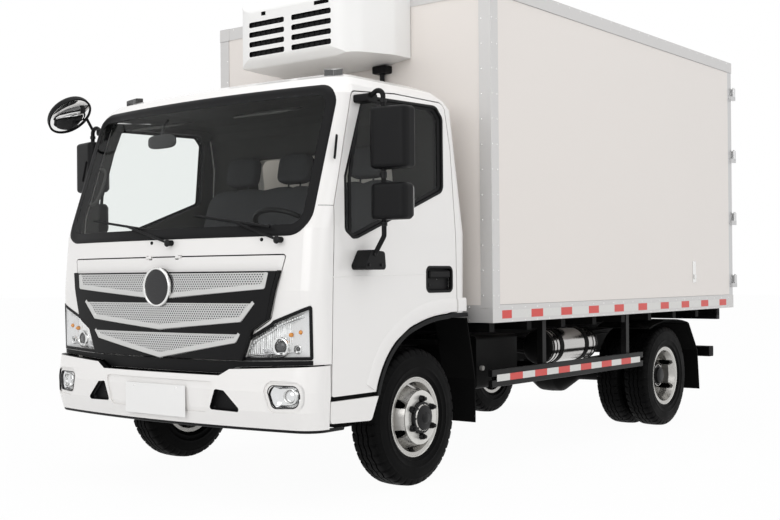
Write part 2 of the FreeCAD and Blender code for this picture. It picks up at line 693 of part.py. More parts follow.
def front_axle_beam():
    body = new_body("front_axle_beam")
    seat = front_spring_seat
    end = size.kingpin_x - 12
    mid = size.tyre_radius
    beam = [(-end, mid - 34), (-640, mid - 56, 60), (-470, seat - 76, 60), (470, seat - 76, 60),
            (640, mid - 56, 60), (end, mid - 34), (end, mid + 34), (650, mid + 20, 60), (460, seat, 60),
            (-460, seat, 60), (-650, mid + 20, 60), (-end, mid + 34)]
    extrude(body, "XZ_Plane", [rounded(beam)], "-36", "36")
    bosses = [ring(x, 0, size.boss_r) for x in (-size.kingpin_x, size.kingpin_x)]
    low = "size.tyre_radius - size.boss_height / 2"
    high = "size.tyre_radius + size.boss_height / 2"
    extrude(body, "XY_Plane", bosses, low, high)
    bores = [ring(x, 0, size.kingpin_r + size.running_gap) for x in (-size.kingpin_x, size.kingpin_x)]
    extrude(body, "XY_Plane", bores, low, high, cut=True)


front_axle_beam()


def knuckle(name, side):
    """Two arms round the beam's end, the kingpin through them, an upright and the stub axle."""
    body = new_body(f"knuckle_{name}")
    x = side * size.kingpin_x
    plate = x + side * (size.boss_r + 8)
    back = plate + side * 22
    r = size.boss_r
    arm = rounded([(x, -r), (back, -r), (back, r), (x, r), ("by", x - side * r, 0)])
    over = "size.tyre_radius + size.boss_height / 2 + size.seat_gap"
    under = "size.tyre_radius - size.boss_height / 2 - size.seat_gap"
    extrude(body, "XY_Plane", [arm], over, over + " + size.arm_height")
    extrude(body, "XY_Plane", [arm], under + " - size.arm_height", under)
    upright = rectangle(min(plate, back), -46, max(plate, back), 46, 8)
    extrude(body, "XY_Plane", [upright], under + " - size.arm_height", over + " + size.arm_height")
    extrude(body, "XY_Plane", [ring(x, 0, size.kingpin_r)], under + " - 5", over + " + 5")
    stub = [ring(0, size.tyre_radius, size.stub_r)]
    if side > 0:
        extrude(body, "YZ_Plane", stub, "size.kingpin_x + size.boss_r + 20", "size.front_wheel_x + 82")
    else:
        extrude(body, "YZ_Plane", stub, "-size.front_wheel_x - 82", "-size.kingpin_x - size.boss_r - 20")


knuckle("left", 1)
knuckle("right", -1)


def rear_axle():
    """The axle tube with its swollen middle, turned about the axle's own line, and the seats of the springs."""
    body = new_body("rear_axle")
    body.setExpression("Placement.Base.y", FRONT_AXLE + " + size.wheelbase")
    body.setExpression("Placement.Base.z", "size.tyre_radius")
    end = size.rear_outer_x - 10
    half = [(0, 0), (0, 172), (90, 168, 60), (235, 66, 50), (560, 62), (560, 78), (585, 78), (585, 44), (end, 44),
            (end, 0)]
    for loop in (rounded(half), rounded(mirrored(half))):
        turn(body, "XZ_Plane", [loop])
    pad = rectangle(-52, 0, 52, rear_spring_seat - size.tyre_radius)
    extrude(body, "YZ_Plane", [pad], "size.frame_half - size.spring_width", "size.frame_half")
    extrude(body, "YZ_Plane", [pad], "-size.frame_half", "size.spring_width - size.frame_half")


rear_axle()


def driveline():
    """The engine as one plain block on two lugs, the gearbox behind it and the shaft to the rear axle."""
    gap = size.seat_gap
    engine = prism("YZ_Plane", rounded([(-470, 560, 30), (-300, 455, 40), (-60, 455, 20), (-60, 470), (390, 470),
                                        (390, 960, 40), (-430, 1010, 50)]), -262, 262)
    lug = block((262 + gap, -50, 690), (size.frame_half - size.rail_web - gap, 50, 740))
    case = prism("YZ_Plane", rounded([(390 + gap, 480, 20), (390 + gap, 780, 20), (700, 740, 60), (1000, 620, 30),
                                      (1000, 470, 30), (700, 440, 60)]), -150, 150)
    shaft = bar((0, 1000 + gap, 525), (0, size.wheelbase - 172.3, size.tyre_radius), 38)
    solid_feature("driveline", Part.makeCompound([engine, lug, other_side(lug), case, shaft]))


driveline()


def box_bearers():
    """Two long bearers on the rails and the cross bearers between them and the box floor."""
    body = new_body("box_bearers")
    cross = 60
    low = size.frame_high + size.seat_gap
    high = size.box_low - cross - size.seat_gap
    rails = [rectangle(size.frame_half - 66, low, size.frame_half, high),
             rectangle(-size.frame_half, low, 66 - size.frame_half, high)]
    extrude(body, "XZ_Plane", rails, "size.box_front", BOX_REAR + " - 60")
    count = 9
    first = size.box_front + 60
    step = (size.box_length - 260) / (count - 1)
    bars = [rectangle(first + i * step, size.box_low - cross, first + i * step + 55, size.box_low)
            for i in range(count)]
    extrude(body, "YZ_Plane", bars, "60 - size.box_half", "size.box_half - 60")


box_bearers()


def underbody():
    """Tanks and boxes that hang on the rails between the axles."""
    polished = new_body("air_tank")
    centre_x = 800
    centre_z = 690
    extrude(polished, "XZ_Plane", [ring(centre_x, centre_z, size.tank_radius)], "1710",
            "1710 + size.tank_length")
    straps = new_body("tank_straps")
    over = size.tank_radius + 4
    inner = size.tank_radius
    loops = [ring(centre_x, centre_z, over), ring(centre_x, centre_z, inner)]
    for y in ("1810", "2170"):
        extrude(straps, "XZ_Plane", loops, y, y + " + 50")
    arm = rectangle(size.frame_half, centre_z - 30, centre_x - inner - 1, centre_z + 30)
    for y in ("1810", "2170"):
        extrude(straps, "XZ_Plane", [arm], y, y + " + 50")
    fuel = new_body("frame_tanks")
    section = rectangle(-900, 430, -size.frame_half - 40, 800, 60)
    extrude(fuel, "XZ_Plane", [section], "1300", "2400")
    hold = rectangle(-size.frame_half - 45, 600, -size.frame_half, 740)
    for y in ("1450", "2180"):
        extrude(fuel, "XZ_Plane", [hold], y, y + " + 60")
    case = rectangle(size.frame_half + 30, 470, 860, 800, 25)
    extrude(fuel, "XZ_Plane", [case], "840", "1330")
    hold = rectangle(size.frame_half, 600, size.frame_half + 35, 740)
    extrude(fuel, "XZ_Plane", [hold], "900", "1260")


underbody()


def side_guards():
    """Two rails on each side, the lower edge of the truck between its axles, with their posts."""
    body = new_body("side_guards")
    x = size.box_half - size.guard_in
    rail = size.guard_rail
    top = 606
    low = 500
    for side in (1, -1):
        a = x - 28 if side > 0 else -x
        b = x if side > 0 else 28 - x
        rails = [rectangle(a, top - rail, b, top, 4), rectangle(a, low, b, low + rail, 4)]
        extrude(body, "XZ_Plane", rails, "size.guard_front", "size.guard_rear")
        back = rectangle(a, low + rail - 1, a + 8, top - rail + 1) if side > 0 else \
            rectangle(b - 8, low + rail - 1, b, top - rail + 1)
        extrude(body, "XZ_Plane", [back], "size.guard_front + 40", "size.guard_rear - 30")
        post_a = x - 68 if side > 0 else 28 - x - 1
        post_b = x - 27 if side > 0 else 68 - x
        post = rectangle(post_a, low, post_b, size.box_low - 60 + 1)
        foot = rectangle(post_a - (60 if side > 0 else 0), size.box_low - 61, post_b + (0 if side > 0 else 60),
                         size.box_low)
        for y in ("1380", "2600"):
            extrude(body, "XZ_Plane", [post], y, y + " + 46")
            extrude(body, "XZ_Plane", [foot], y, y + " + 46")


side_guards()


def mud_flaps():
    """Flaps behind the wheels, the rear wheels' arched guards, and their stays from the rails."""
    body = new_body("mud_flaps")
    gap = size.seat_gap
    thick = size.flap_thick
    front = rounded([(500, 930), (556, 700), (586, 560), (586, 300), (586 + thick, 300), (586 + thick, 562),
                     (566, 704), (510, 930)])
    y = size.wheelbase
    arch = rounded([(y - 330, 764), ("by", y + 30, 818), (y + 392, 784), (y + 393, 784 + thick),
                    ("by", y + 30, 818 + thick), (y - 336, 764 + thick)])
    rear = rounded([(y + 394, 780), (y + 560, 560), (y + 600, 240), (y + 600 + thick, 240),
                    (y + 560 + 1.5 * thick, 562), (y + 396 + thick, 786)])
    stay_y = y + 430
    high = size.frame_high + gap
    front_stay = rectangle(512, high, 545, high + 30)
    rear_stay = rectangle(stay_y, high, stay_y + 26, high + 30)
    for side in (1, -1):
        for outline, near, far in ((front, 780, 1010), (arch, 560, 1010), (rear, 560, 1010),
                                   (front_stay, size.frame_half - 66, 780 - gap),
                                   (rear_stay, size.frame_half + gap, 600)):
            a, b = sorted((side * near, side * far))
            extrude(body, "YZ_Plane", [outline], str(a), str(b))


mud_flaps()


def rear_end():
    """Underrun bar on two arms, the lamp board and its lamps."""
    bar = new_body("underrun_bar")
    far = frame_rear
    extrude(bar, "YZ_Plane", [rectangle(far + 20, 490, far + 110, 575, 8)], "125 - size.box_half",
            "size.box_half - 125")
    arm = [(far - 30, 500), (far + 24, 500), (far + 24, 570), (far + 4, 700), (far - 30, 700)]
    for a, b in (("size.frame_half", "size.frame_half + 10"), ("-size.frame_half - 10", "-size.frame_half")):
        extrude(bar, "YZ_Plane", [rounded(arm)], a, b)
    lamps = new_body("rear_lamps")
    board = rectangle(far + 90, 800, far + 150, 880, 6)
    stem = rectangle(far + 92, 860, far + 140, size.box_low)
    for outline, near, away in ((board, 485, 85), (stem, 425, 365), (stem, 225, 165)):
        extrude(lamps, "YZ_Plane", [outline], f"size.box_half - {near}", f"size.box_half - {away}")
        extrude(lamps, "YZ_Plane", [outline], f"{away} - size.box_half", f"{near} - size.box_half")


rear_end()


# Wheels


def rim_section(x, side, plane):
    """A rim's barrel and, at its plane, the disc, in X and radius."""
    r = size.rim_radius
    barrel = [(-80, r), (-70, r - 16), (-28, r - 34), (28, r - 34), (70, r - 16), (80, r), (76, r - 24),
              (32, r - 42), (-32, r - 42), (-76, r - 24)]
    back = plane - math.copysign(10, plane)
    disc = [(plane, 70), (plane, 152), (plane * 0.36, r - 40), (plane * 0.14, r - 40), (back, 145), (back, 70)]
    return [(x + side * u, v) for u, v in barrel], [(x + side * u, v) for u, v in disc]


def wheel(name, side, rear):
    """The rims, hub and drum of one wheel station, about the axle's line."""
    body = new_body(f"{'rear' if rear else 'front'}_rims_{name}" if rear else f"front_rim_{name}")
    if rear:
        body.setExpression("Placement.Base.y", FRONT_AXLE + " + size.wheelbase")
    body.setExpression("Placement.Base.z", "size.tyre_radius")
    offset = size.dual_spacing / 2
    if rear:
        stations = ((size.rear_outer_x, -offset), (size.rear_outer_x - size.dual_spacing, offset))
        bore = 44 + size.running_gap
        hub = [(590, bore), (590, 100), (size.rear_outer_x - offset, 100), (size.rear_outer_x - offset, 84),
               (size.rear_outer_x + 25, 84), (size.rear_outer_x + 25, 60), (size.rear_outer_x + 32, 50),
               (size.rear_outer_x + 32, 0), (size.rear_outer_x - 2, 0), (size.rear_outer_x - 2, bore)]
        drum = [(596, 90), (596, 160), (690, 160), (690, 90)]
    else:
        stations = ((size.front_wheel_x, offset),)
        bore = size.stub_r + size.running_gap
        face = size.front_wheel_x + offset
        hub = [(face - 130, bore), (face - 130, 66), (face - 12, 66), (face - 12, 86), (face + 16, 86),
               (face + 28, 70), (face + 28, 0), (face - 20, 0), (face - 20, bore)]
        drum = [(face - 125, 60), (face - 125, 158), (face - 40, 158), (face - 40, 60)]
    for x, plane in stations:
        barrel, disc = rim_section(side * x, side, plane)
        turn(body, "XZ_Plane", [rounded(barrel)])
        turn(body, "XZ_Plane", [rounded(disc)])
    turn(body, "XZ_Plane", [rounded([(side * u, v) for u, v in hub])])
    turn(body, "XZ_Plane", [rounded([(side * u, v) for u, v in drum])])
    doc.recompute()
    near = "size.rear_outer_x - size.dual_spacing - 70" if rear else "size.front_wheel_x - 10"
    far = "size.rear_outer_x + 70" if rear else "size.front_wheel_x + 150"
    if side < 0:
        near, far = f"-({far})", f"-({near})"
    hole = extrude(body, "YZ_Plane", [ring(0, 171, 26)], near, far, cut=True)
    repeat_round(body, hole, 6)
    body.Tip.Refine = False


def tyre_section(x):
    """A tyre's section in X and radius: bead, side wall, shoulder and crown."""
    r = size.tyre_radius
    half = size.tyre_width / 2
    right = [(half - 31.3, size.rim_radius - 15.7), (half - 20.2, size.rim_radius + 0.5), (half - 1, r - 122),
             (half, r - 88), (half - 14, r - 24), (half - 38, r)]
    left = [(-u, v) for u, v in reversed(right)]
    return [(x + u, v) for u, v in right + left]


def tyres(name, side, rear):
    body = new_body(f"rear_tyres_{name}" if rear else f"front_tyre_{name}")
    if rear:
        body.setExpression("Placement.Base.y", FRONT_AXLE + " + size.wheelbase")
    body.setExpression("Placement.Base.z", "size.tyre_radius")
    middles = (size.rear_outer_x, size.rear_outer_x - size.dual_spacing) if rear else (size.front_wheel_x,)
    for x in middles:
        turn(body, "XZ_Plane", [rounded(tyre_section(side * x))])


for side, name in ((1, "left"), (-1, "right")):
    for rear in (False, True):
        wheel(name, side, rear)
        tyres(name, side, rear)


# Front end


FOG = [(770, 628, 40), (966, 628, 50), (960, 520, 50), (806, 512, 40)]
INTAKE = [(445, 598, 14), (505, 592, 14), (622, 482, 14), (402, 488, 14)]
FOG_BED = [(742, 652, 50), (990, 652, 60), (984, 500, 60), (790, 488, 50)]
PLATE_BED = [(-430, 636, 20), (430, 636, 20), (384, 470, 30), (-384, 470, 30)]


def bumper():
    """The moulded bumper: bowed in plan, wrapped round the corners and bulged in section."""
    shell = bumper_loft(0).cut(bumper_loft(size.bumper_wall))
    behind = rounded([(-806, 300), (-802, 430), (-795, 541), (-790, 560), (-790, 900), (900, 900), (900, 300)])
    over = rounded(bumper_top + mirrored(bumper_top)[::-1] + [(-PAST, 1200), (PAST, 1200)])
    cuts = [prism("YZ_Plane", behind, -PAST, PAST), prism("XZ_Plane", over, *FACE_REACH)]
    for points in (FOG, INTAKE, mirrored(FOG), mirrored(INTAKE)):
        cuts.append(prism("XZ_Plane", rounded(points), *FACE_REACH))
    shallow = bumper_loft(0).cut(bumper_loft(10))
    for points in (FOG_BED, mirrored(FOG_BED), PLATE_BED):
        cuts.append(shallow.common(prism("XZ_Plane", rounded(points), *FACE_REACH)))
    solid_feature("front_bumper", shell.cut(cuts))


bumper()


def front_lamps():
    """Headlights set into the cab's corners, and the fog lamps set into the bumper."""
    lid_room = prism("XZ_Plane", LID, *FACE_REACH)
    deep = hull.cut(cab_hull(size.cab_wall - 5)).cut(lid_room)
    lamp = prism("XZ_Plane", LAMP, LAMP_REACH[0], LAMP_REACH[1] - size.seat_gap, -size.seat_gap)
    over = prism("XZ_Plane", FACE_BELOW, FACE_REACH[0], FACE_REACH[1] - 70, size.shut_gap)
    units = [deep.common(shape).cut(over) for shape in (lamp, other_side(lamp))]
    skin = bumper_loft(22).cut(bumper_loft(60))
    for points in (FOG, mirrored(FOG)):
        units.append(skin.common(prism("XZ_Plane", rounded(points), *FACE_REACH, -size.seat_gap)))
    solid_feature("front_lamps", Part.makeCompound(
        [max(unit.Solids, key=lambda solid: solid.Volume) for unit in units]))


front_lamps()


def grille():
    """Grille frame over the lid with a plain disc, and three rows of bright mesh between its bars."""
    skin = cab_hull(-26).cut(cab_hull(-size.seat_gap))
    below = prism("XZ_Plane", rectangle(-900, 600, 900, 1213), *FACE_REACH)
    frame = skin.common(prism("XZ_Plane", LID, *FACE_REACH, -14)).common(below)
    rows = []
    for top, top_half, low_outer, low_half, centre in ((1206, 764, 1120, 748, 1062), (1046, 684, 948, 598, 896),
                                                       (884, 588, 838, 560, 742)):
        rows.append(rounded([(-top_half, top, 10), (top_half, top, 10), (low_half, low_outer, 14), (0, centre),
                             (-low_half, low_outer, 14)]))
    frame = frame.cut([prism("XZ_Plane", row, *FACE_REACH) for row in rows])
    disc_z = 1132
    back = size.cab_front - 8
    disc = bar((0, size.cab_front - 34, disc_z), (0, back, disc_z), size.badge_r)
    clear = bar((0, size.cab_front - 60, disc_z), (0, size.cab_front + 60, disc_z), size.badge_r + size.seat_gap)
    fill = cab_hull(-20).cut(cab_hull(-8)).cut(clear)
    meshes = []
    for row in rows:
        meshes += fill.common(prism("XZ_Plane", row, *FACE_REACH, -size.seat_gap)).Solids
    solid_feature("grille_frame", frame.fuse(disc).removeSplitter())
    solid_feature("grille_mesh", Part.makeCompound(meshes))


grille()


def steps():
    """The step panels below the doors, hung under the sills."""
    lower = rounded([(-788, size.cab_low - 17), (-795, 430, 20), (-452, 415, 30), (-388, size.cab_low - 17)])
    outer = Part.makeLoft([level_section(z, size.bumper_front, size.cab_half, 471, 110) for z in (400, 600)],
                          True, True)
    inner = Part.makeLoft([level_section(z, size.bumper_front + 50, size.cab_half - 50, 500, 80)
                           for z in (399, 601)], True, True)
    panels = [outer.cut(inner).common(prism("YZ_Plane", lower, *sorted(side * x for x in SIDE_REACH))).Solids[0]
              for side in (1, -1)]
    solid_feature("step_panels", Part.makeCompound(panels))


steps()


# Cab fittings


def arch_trims():
    """Dark lip of each wheel opening with the flange that closes it against the floor's wheel housing."""
    trims = []
    flange_in = size.cab_half - size.cab_wall - 20 + size.seat_gap
    flange_out = flange_in + 7
    near = prism("YZ_Plane", rounded([(-430, 546), (-430, 1000), (476, 1000), (476, 546)]), 900, 1100)
    lip = prism("YZ_Plane", WHEEL_OPENING, flange_in, size.cab_half + 8).common(near)
    plate = prism("YZ_Plane", rectangle(-500, 600, 385, 985), flange_in, flange_out)
    wheel_room = prism("YZ_Plane", WHEEL_OPENING, 900, 1100, -size.arch_lip)
    trim = lip.fuse(plate).cut(wheel_room)
    for shape in (trim, other_side(trim)):
        trims.append(max(shape.Solids, key=lambda solid: solid.Volume))
    solid_feature("arch_trims", Part.makeCompound(trims))


arch_trims()

# The steering wheel's centre, and its column's lean from upright
WHEEL_AT = V(440, -420, 1440)
COLUMN_LEAN = math.radians(32)
COLUMN_UP = V(0, math.sin(COLUMN_LEAN), math.cos(COLUMN_LEAN))


def along_column(distance):
    """A point on the column's axis, measured up from the steering wheel's centre."""
    return WHEEL_AT + COLUMN_UP * distance


def dashboard():
    """Dashboard with the steering column in its housing."""
    side_view = [(-960, 1000), (-960, 1400), (-850, 1436, 30), (-620, 1440, 50), (-560, 1330, 60),
                 (-600, 1080, 60), (-700, 1000, 40)]
    half = size.cab_half - size.cab_wall - 20
    board = prism("YZ_Plane", rounded(side_view), -half, half).common(cab_hull(size.cab_wall + size.seat_gap))
    housing = Part.makeCylinder(44, 190, along_column(-70 - size.seat_gap), -COLUMN_UP)
    solid_feature("dashboard", board.fuse(housing).removeSplitter())


dashboard()


def steering_wheel():
    """Rim, three spokes and hub about the tilted column."""
    rim_r = size.steer_wheel_r
    corners = [V(rim_r + 15 * math.cos(math.radians(45 * i)), 0, 15 * math.sin(math.radians(45 * i)))
               for i in range(8)]
    section = Part.Face(Part.makePolygon(corners + corners[:1]))
    shape = section.revolve(V(0, 0, 0), V(0, 0, 1), 360)
    shape.Placement = FreeCAD.Placement(WHEEL_AT, FreeCAD.Rotation(V(0, 0, 1), COLUMN_UP))
    hub = Part.makeCylinder(52, 64, along_column(-70), COLUMN_UP)
    across = V(1, 0, 0)
    down = V(0, math.cos(COLUMN_LEAN), -math.sin(COLUMN_LEAN))
    spokes = []
    for way in (across, -across, down):
        start = along_column(-20)
        spokes.append(bar(tuple(start), tuple(WHEEL_AT + way * rim_r), 13))
    solid_feature("steering_wheel", shape.fuse([hub] + spokes))


steering_wheel()


def seats():
    """Driver's seat and the double seat beside it, on the engine cover."""
    body = new_body("seats")
    base = 1130 + size.seat_gap
    side_view = [(-300, base, 20), (200, base), (300, 1700, 40), (322, 2010, 30), (232, 2020, 40),
                 (205, 1720, 40), (110, 1300, 60), (-300, base + 120, 60)]
    for near, far in (("180", "700"), ("-880", "120")):
        extrude(body, "YZ_Plane", [rounded(side_view)], near, far)


seats()


def mirror_head(side, plan, low, high, edge):
    """A mirror housing: its plan run up between two heights, with its upper and lower edges rounded."""
    outline = [(side * corner[0],) + corner[1:] for corner in plan]
    head = prism("XY_Plane", rounded(outline), low, high)
    rims = [e for e in head.Edges if e.BoundBox.ZLength < 1]
    return head.makeFillet(edge, rims)


def front_mirror():
    """The round mirror that looks down in front of the cab, on its own arm."""
    centre = V(-1132, -735, 2205)
    facing = V(0.67, 0.04, -0.74)
    facing.normalize()
    deep = 46
    shell = Part.makeCylinder(size.front_mirror_r, deep, centre - facing * deep, facing)
    back = [edge for edge in shell.Edges if edge.CenterOfMass.distanceToPoint(centre - facing * deep) < 5]
    shell = shell.makeFillet(34, back)
    return shell, tuple(centre - facing * 30)


def mirrors():
    """Tube arms with the main and wide-angle heads, and the round front mirror on the right."""
    for side, name in ((1, "left"), (-1, "right")):
        x = side * size.mirror_x
        path = [(side * 1080, -520, 2118), (x, -520, 2176), (x, -520, 1390), (side * 1110, -530, 1280)]
        arm = tube_along(path, size.mirror_arm_r, 34)
        foot = prism("YZ_Plane", rounded([(-630, 1215, 20), (-440, 1215, 20), (-450, 1310, 20), (-560, 1320, 20)]),
                     *sorted((side * size.cab_half, side * 1126)))
        lug = prism("YZ_Plane", rectangle(-552, 2096, -470, 2140, 14),
                    *sorted((side * (size.cab_half - 27.5), side * 1100)))
        main = mirror_head(side, [(1112, -588, 40), (1332, -540, 44), (1332, -440, 30), (1112, -428, 30)],
                           1740, 2060, 22)
        wide = mirror_head(side, [(1112, -580, 40), (1322, -538, 40), (1322, -450, 28), (1112, -438, 28)],
                           1474, 1664, 22)
        parts = [foot, lug, main, wide]
        if side < 0:
            shell, spot = front_mirror()
            parts += [shell, tube_along([(x, -520, 2140), (x - 10, -600, 2268), spot], 9, 30)]
        solid_feature(f"mirrors_{name}", arm.fuse(parts))


mirrors()


def wipers():
    """Two arms and blades that lie along the foot of the windscreen."""
    share = size.cab_bow / 930 ** 2
    outside = cab_hull(-size.seat_gap)
    shapes = []
    for pivot_x, tip_x in ((810, 500), (60, -330)):
        y = size.cab_front + 12 + share * pivot_x ** 2
        y_tip = size.cab_front + 40 + share * tip_x ** 2
        base = bar((pivot_x, y - 22, 1372), (pivot_x, y + 24, 1372), 16)
        arm = bar((pivot_x, y - 16, 1372), (tip_x, y_tip - 14, 1478), 7)
        blade = Part.makeCylinder(7, 560, V(tip_x + 260, y_tip - 6, 1440), V(-1, 0, 0.14))
        shape = base.fuse([arm, blade]).cut(outside)
        shapes.append(max(shape.Solids, key=lambda solid: solid.Volume))
    solid_feature("wipers", Part.makeCompound(shapes))


wipers()


def roof_lamps():
    skin = cab_hull(-26).cut(hull)
    lamps = []
    for side in (1, -1):
        block = prism("XY_Plane", rounded([(side * 770, -520, 12), (side * 850, -520, 12), (side * 850, -440, 12),
                                           (side * 770, -440, 12)]), 2200, 2400)
        lamps.append(skin.common(block).Solids[0])
    solid_feature("roof_lamps", Part.makeCompound(lamps))


roof_lamps()


# Insulated box


def box_floor():
    body = new_body("box_floor")
    foot = size.box_low + size.floor_thick
    floor = rectangle(-size.box_half, size.box_low, size.box_half, foot)
    rear = BOX_REAR + " - size.rear_door_thick - size.shut_gap"
    extrude(body, "XZ_Plane", [floor], "size.box_front", rear)
    clear = size.box_half - size.box_wall - size.seat_gap
    extrude(body, "XZ_Plane", [rectangle(-clear, foot - 1, clear, foot + size.floor_raise)],
            "size.box_front + size.box_wall + size.seat_gap", rear)


box_floor()


def box_walls():
    low = size.box_low + size.floor_thick
    body = new_body("box_side_walls")
    for side in (1, -1):
        a, b = sorted((side * (size.box_half - size.box_wall), side * size.box_half))
        extrude(body, "XZ_Plane", [rectangle(a, low, b, size.box_high - size.box_wall)],
                "size.box_front + size.box_wall", BOX_REAR + " - size.rear_door_thick - size.shut_gap")
    front = new_body("box_wall_front")
    extrude(front, "XZ_Plane", [rectangle(-size.box_half, low, size.box_half, size.box_high - size.box_wall)],
            "size.box_front", "size.box_front + size.box_wall")
    roof = new_body("box_roof")
    extrude(roof, "XZ_Plane", [rectangle(-size.box_half, size.box_high - size.box_wall, size.box_half, size.box_high)],
            "size.box_front", BOX_REAR + " - size.rear_door_thick - size.shut_gap")


box_walls()


def box_trims():
    """Aluminium sections along every edge of the box, one piece round the body."""
    body = new_body("box_trims")
    w = size.trim_wide
    p = size.trim_proud
    half = size.box_half
    low = size.box_low
    high = size.box_high
    tall = 106
    top_side = [(half, high - w), (half + p, high - w), (half + p, high + p), (half - w, high + p),
                (half - w, high), (half, high)]
    low_side = [(half, low), (half + p, low), (half + p, low + tall), (half, low + tall)]
    for points in (top_side, low_side):
        for loop in (rounded(points), rounded(mirrored(points))):
            extrude(body, "XZ_Plane", [loop], "size.box_front - size.trim_proud", BOX_REAR)
    y = size.box_front
    corner = [(half, y), (half - w, y), (half - w, y - p), (half + p, y - p), (half + p, y + w), (half, y + w)]
    for points in (corner, mirrored(corner)):
        extrude(body, "XY_Plane", [rounded(points)], "size.box_low", "size.box_high + size.trim_proud")
    top_front = [(y, high - w), (y - p, high - w), (y - p, high + p), (y + w, high + p), (y + w, high), (y, high)]
    low_front = [(y, low), (y - p, low), (y - p, low + tall), (y, low + tall)]
    for points in (top_front, low_front):
        extrude(body, "YZ_Plane", [rounded(points)], "-size.box_half - size.trim_proud",
                "size.box_half + size.trim_proud")


box_trims()


def rear_frame():
    """The rear frame round the doors, with the pillars that carry the hinge pins."""
    body = new_body("rear_frame")
    half = size.box_half
    post = size.rear_post
    outer = rectangle(-half, size.box_low, half, size.box_high)
    inner = rectangle(post - half, size.box_low + 70, half - post, size.box_high - post)
    extrude(body, "XZ_Plane", [outer, inner], BOX_REAR + " - size.rear_door_thick - size.shut_gap",
            BOX_REAR)
    y = box_rear
    out = size.rear_hinge_out
    for side in (1, -1):
        x = side * (half + out)
        eye = ring(x, y + out, 15)
        for z in hinge_heights():
            extrude(body, "XY_Plane", [eye], str(z - 70), str(z - 36.3))
            lug = rounded([(side * (half - 12), y - 40), (x - side * 2, y - 40), (x + side * 12, y - 10),
                           (x + side * 12, y + out), (x - side * 12, y + out), (x - side * 12, y - 4),
                           (side * (half - 12), y - 4)])
            extrude(body, "XY_Plane", [lug], str(z - 70), str(z - 36.3))
            extrude(body, "XY_Plane", [ring(x, y + out, size.rear_pin_r)], str(z - 60), str(z + 40))


def hinge_heights():
    """Heights of the rear doors' four hinges."""
    low = size.box_low + 240
    high = size.box_high - 240
    return [low + i * (high - low) / 3 for i in range(4)]


rear_frame()


def rear_doors():
    """Two insulated doors with hinge straps and lock rods on their outer faces."""
    gap = size.shut_gap
    for side, name in ((1, "left"), (-1, "right")):
        body = new_body(f"box_door_{name}")
        a = side * (size.box_half - size.rear_post - gap)
        b = side * gap
        panel = rectangle(min(a, b), size.box_low + 70 + gap, max(a, b), size.box_high - size.rear_post - gap)
        extrude(body, "XZ_Plane", [panel], BOX_REAR + " - size.rear_door_thick",
                BOX_REAR)
        gear = new_body(f"box_door_gear_{name}")
        y = box_rear
        out = size.rear_hinge_out
        x = side * (size.box_half + out)
        for z in hinge_heights():
            strap = rounded([(side * (size.box_half - 240), y), (side * (size.box_half - 66), y),
                             (side * (size.box_half - 66), y + 6), (x, y + 6), (x, y + 12),
                             (side * (size.box_half - 240), y + 12)])
            extrude(gear, "XY_Plane", [strap], str(z - 36), str(z + 30))
            extrude(gear, "XY_Plane", [ring(x, y + out, 14)], str(z - 36), str(z + 30))
            extrude(gear, "XY_Plane", [ring(x, y + out, size.rear_pin_r + size.running_gap)], str(z - 36),
                    str(z + 30), cut=True)
        rod_x = side * 120
        low = str(size.box_low + 84)
        high = str(size.box_high - 76)
        extrude(gear, "XY_Plane", [ring(rod_x, y + size.rod_out, size.lock_rod_r)], low, high)
        for z in (size.box_low + 150, size.box_low + 700, size.box_low + 1300, size.box_high - 200):
            clip = rectangle(rod_x - 34, y, rod_x + 34, y + size.rod_out)
            extrude(gear, "XY_Plane", [clip], str(z - 20), str(z + 20))
        handle = rectangle(min(rod_x, rod_x + side * 330), y + 16, max(rod_x, rod_x + side * 330), y + 32)
        extrude(gear, "XY_Plane", [handle], str(size.box_low + 640), str(size.box_low + 664))
        rest = rectangle(min(rod_x + side * 290, rod_x + side * 330), y, max(rod_x + side * 290, rod_x + side * 330),
                         y + 17)
        extrude(gear, "XY_Plane", [rest], str(size.box_low + 640), str(size.box_low + 664))


rear_doors()


def cooling_unit():
    """The cooling unit: a rounded plan, a sloping pan under it and rows of vents in its face."""
    body = new_body("cooling_unit")
    y = size.unit_front
    back = size.box_front - size.trim_proud
    half = size.unit_half
    high = size.box_high - size.unit_drop
    low = high - size.unit_tall
    plan = [(-half, back), (-half, back - 160, 100), (90 - half, y, 190), (half - 90, y, 190), (half, back - 160, 100),
            (half, back)]
    extrude(body, "XY_Plane", [rounded(plan)], str(low), str(high))
    side_view = [(back + 1, low), (y + 60, low + 12, 50), (y - 2, low + 60, 60),
                 (y - 2, high - 70, 60), (y + 60, high, 80), (back + 1, high)]
    extrude(body, "YZ_Plane", frame_round(rounded(side_view)), "-size.unit_half - 10", "size.unit_half + 10", cut=True)
    bulge = 38
    front_view = [(-half - 5, low + bulge), ("by", 0, low), (half + 5, low + bulge),
                  (half + 5, high), (-half - 5, high)]
    extrude(body, "XZ_Plane", frame_round(rounded(front_view)), "size.unit_front - 10", "size.box_front", cut=True)
    vents = []
    pitch = 62
    for row in range(int(size.vent_count)):
        z = low + 76 + row * pitch
        for left, right in ((-330, -30), (30, 345)):
            vents.append(rectangle(left, z, right, z + 34, 12))
    extrude(body, "XZ_Plane", vents, "size.unit_front - 10", "size.unit_front + 45", cut=True)
    drain = new_body("drain")
    extrude(drain, "XZ_Plane", [rectangle(283, low - 40, 395, low + 9, 10)], f"{size.box_front - 60}", "size.box_front")
    extrude(drain, "XY_Plane", [ring(340, size.box_front - 30, 16)], str(low - 208), str(low - 28))


cooling_unit()

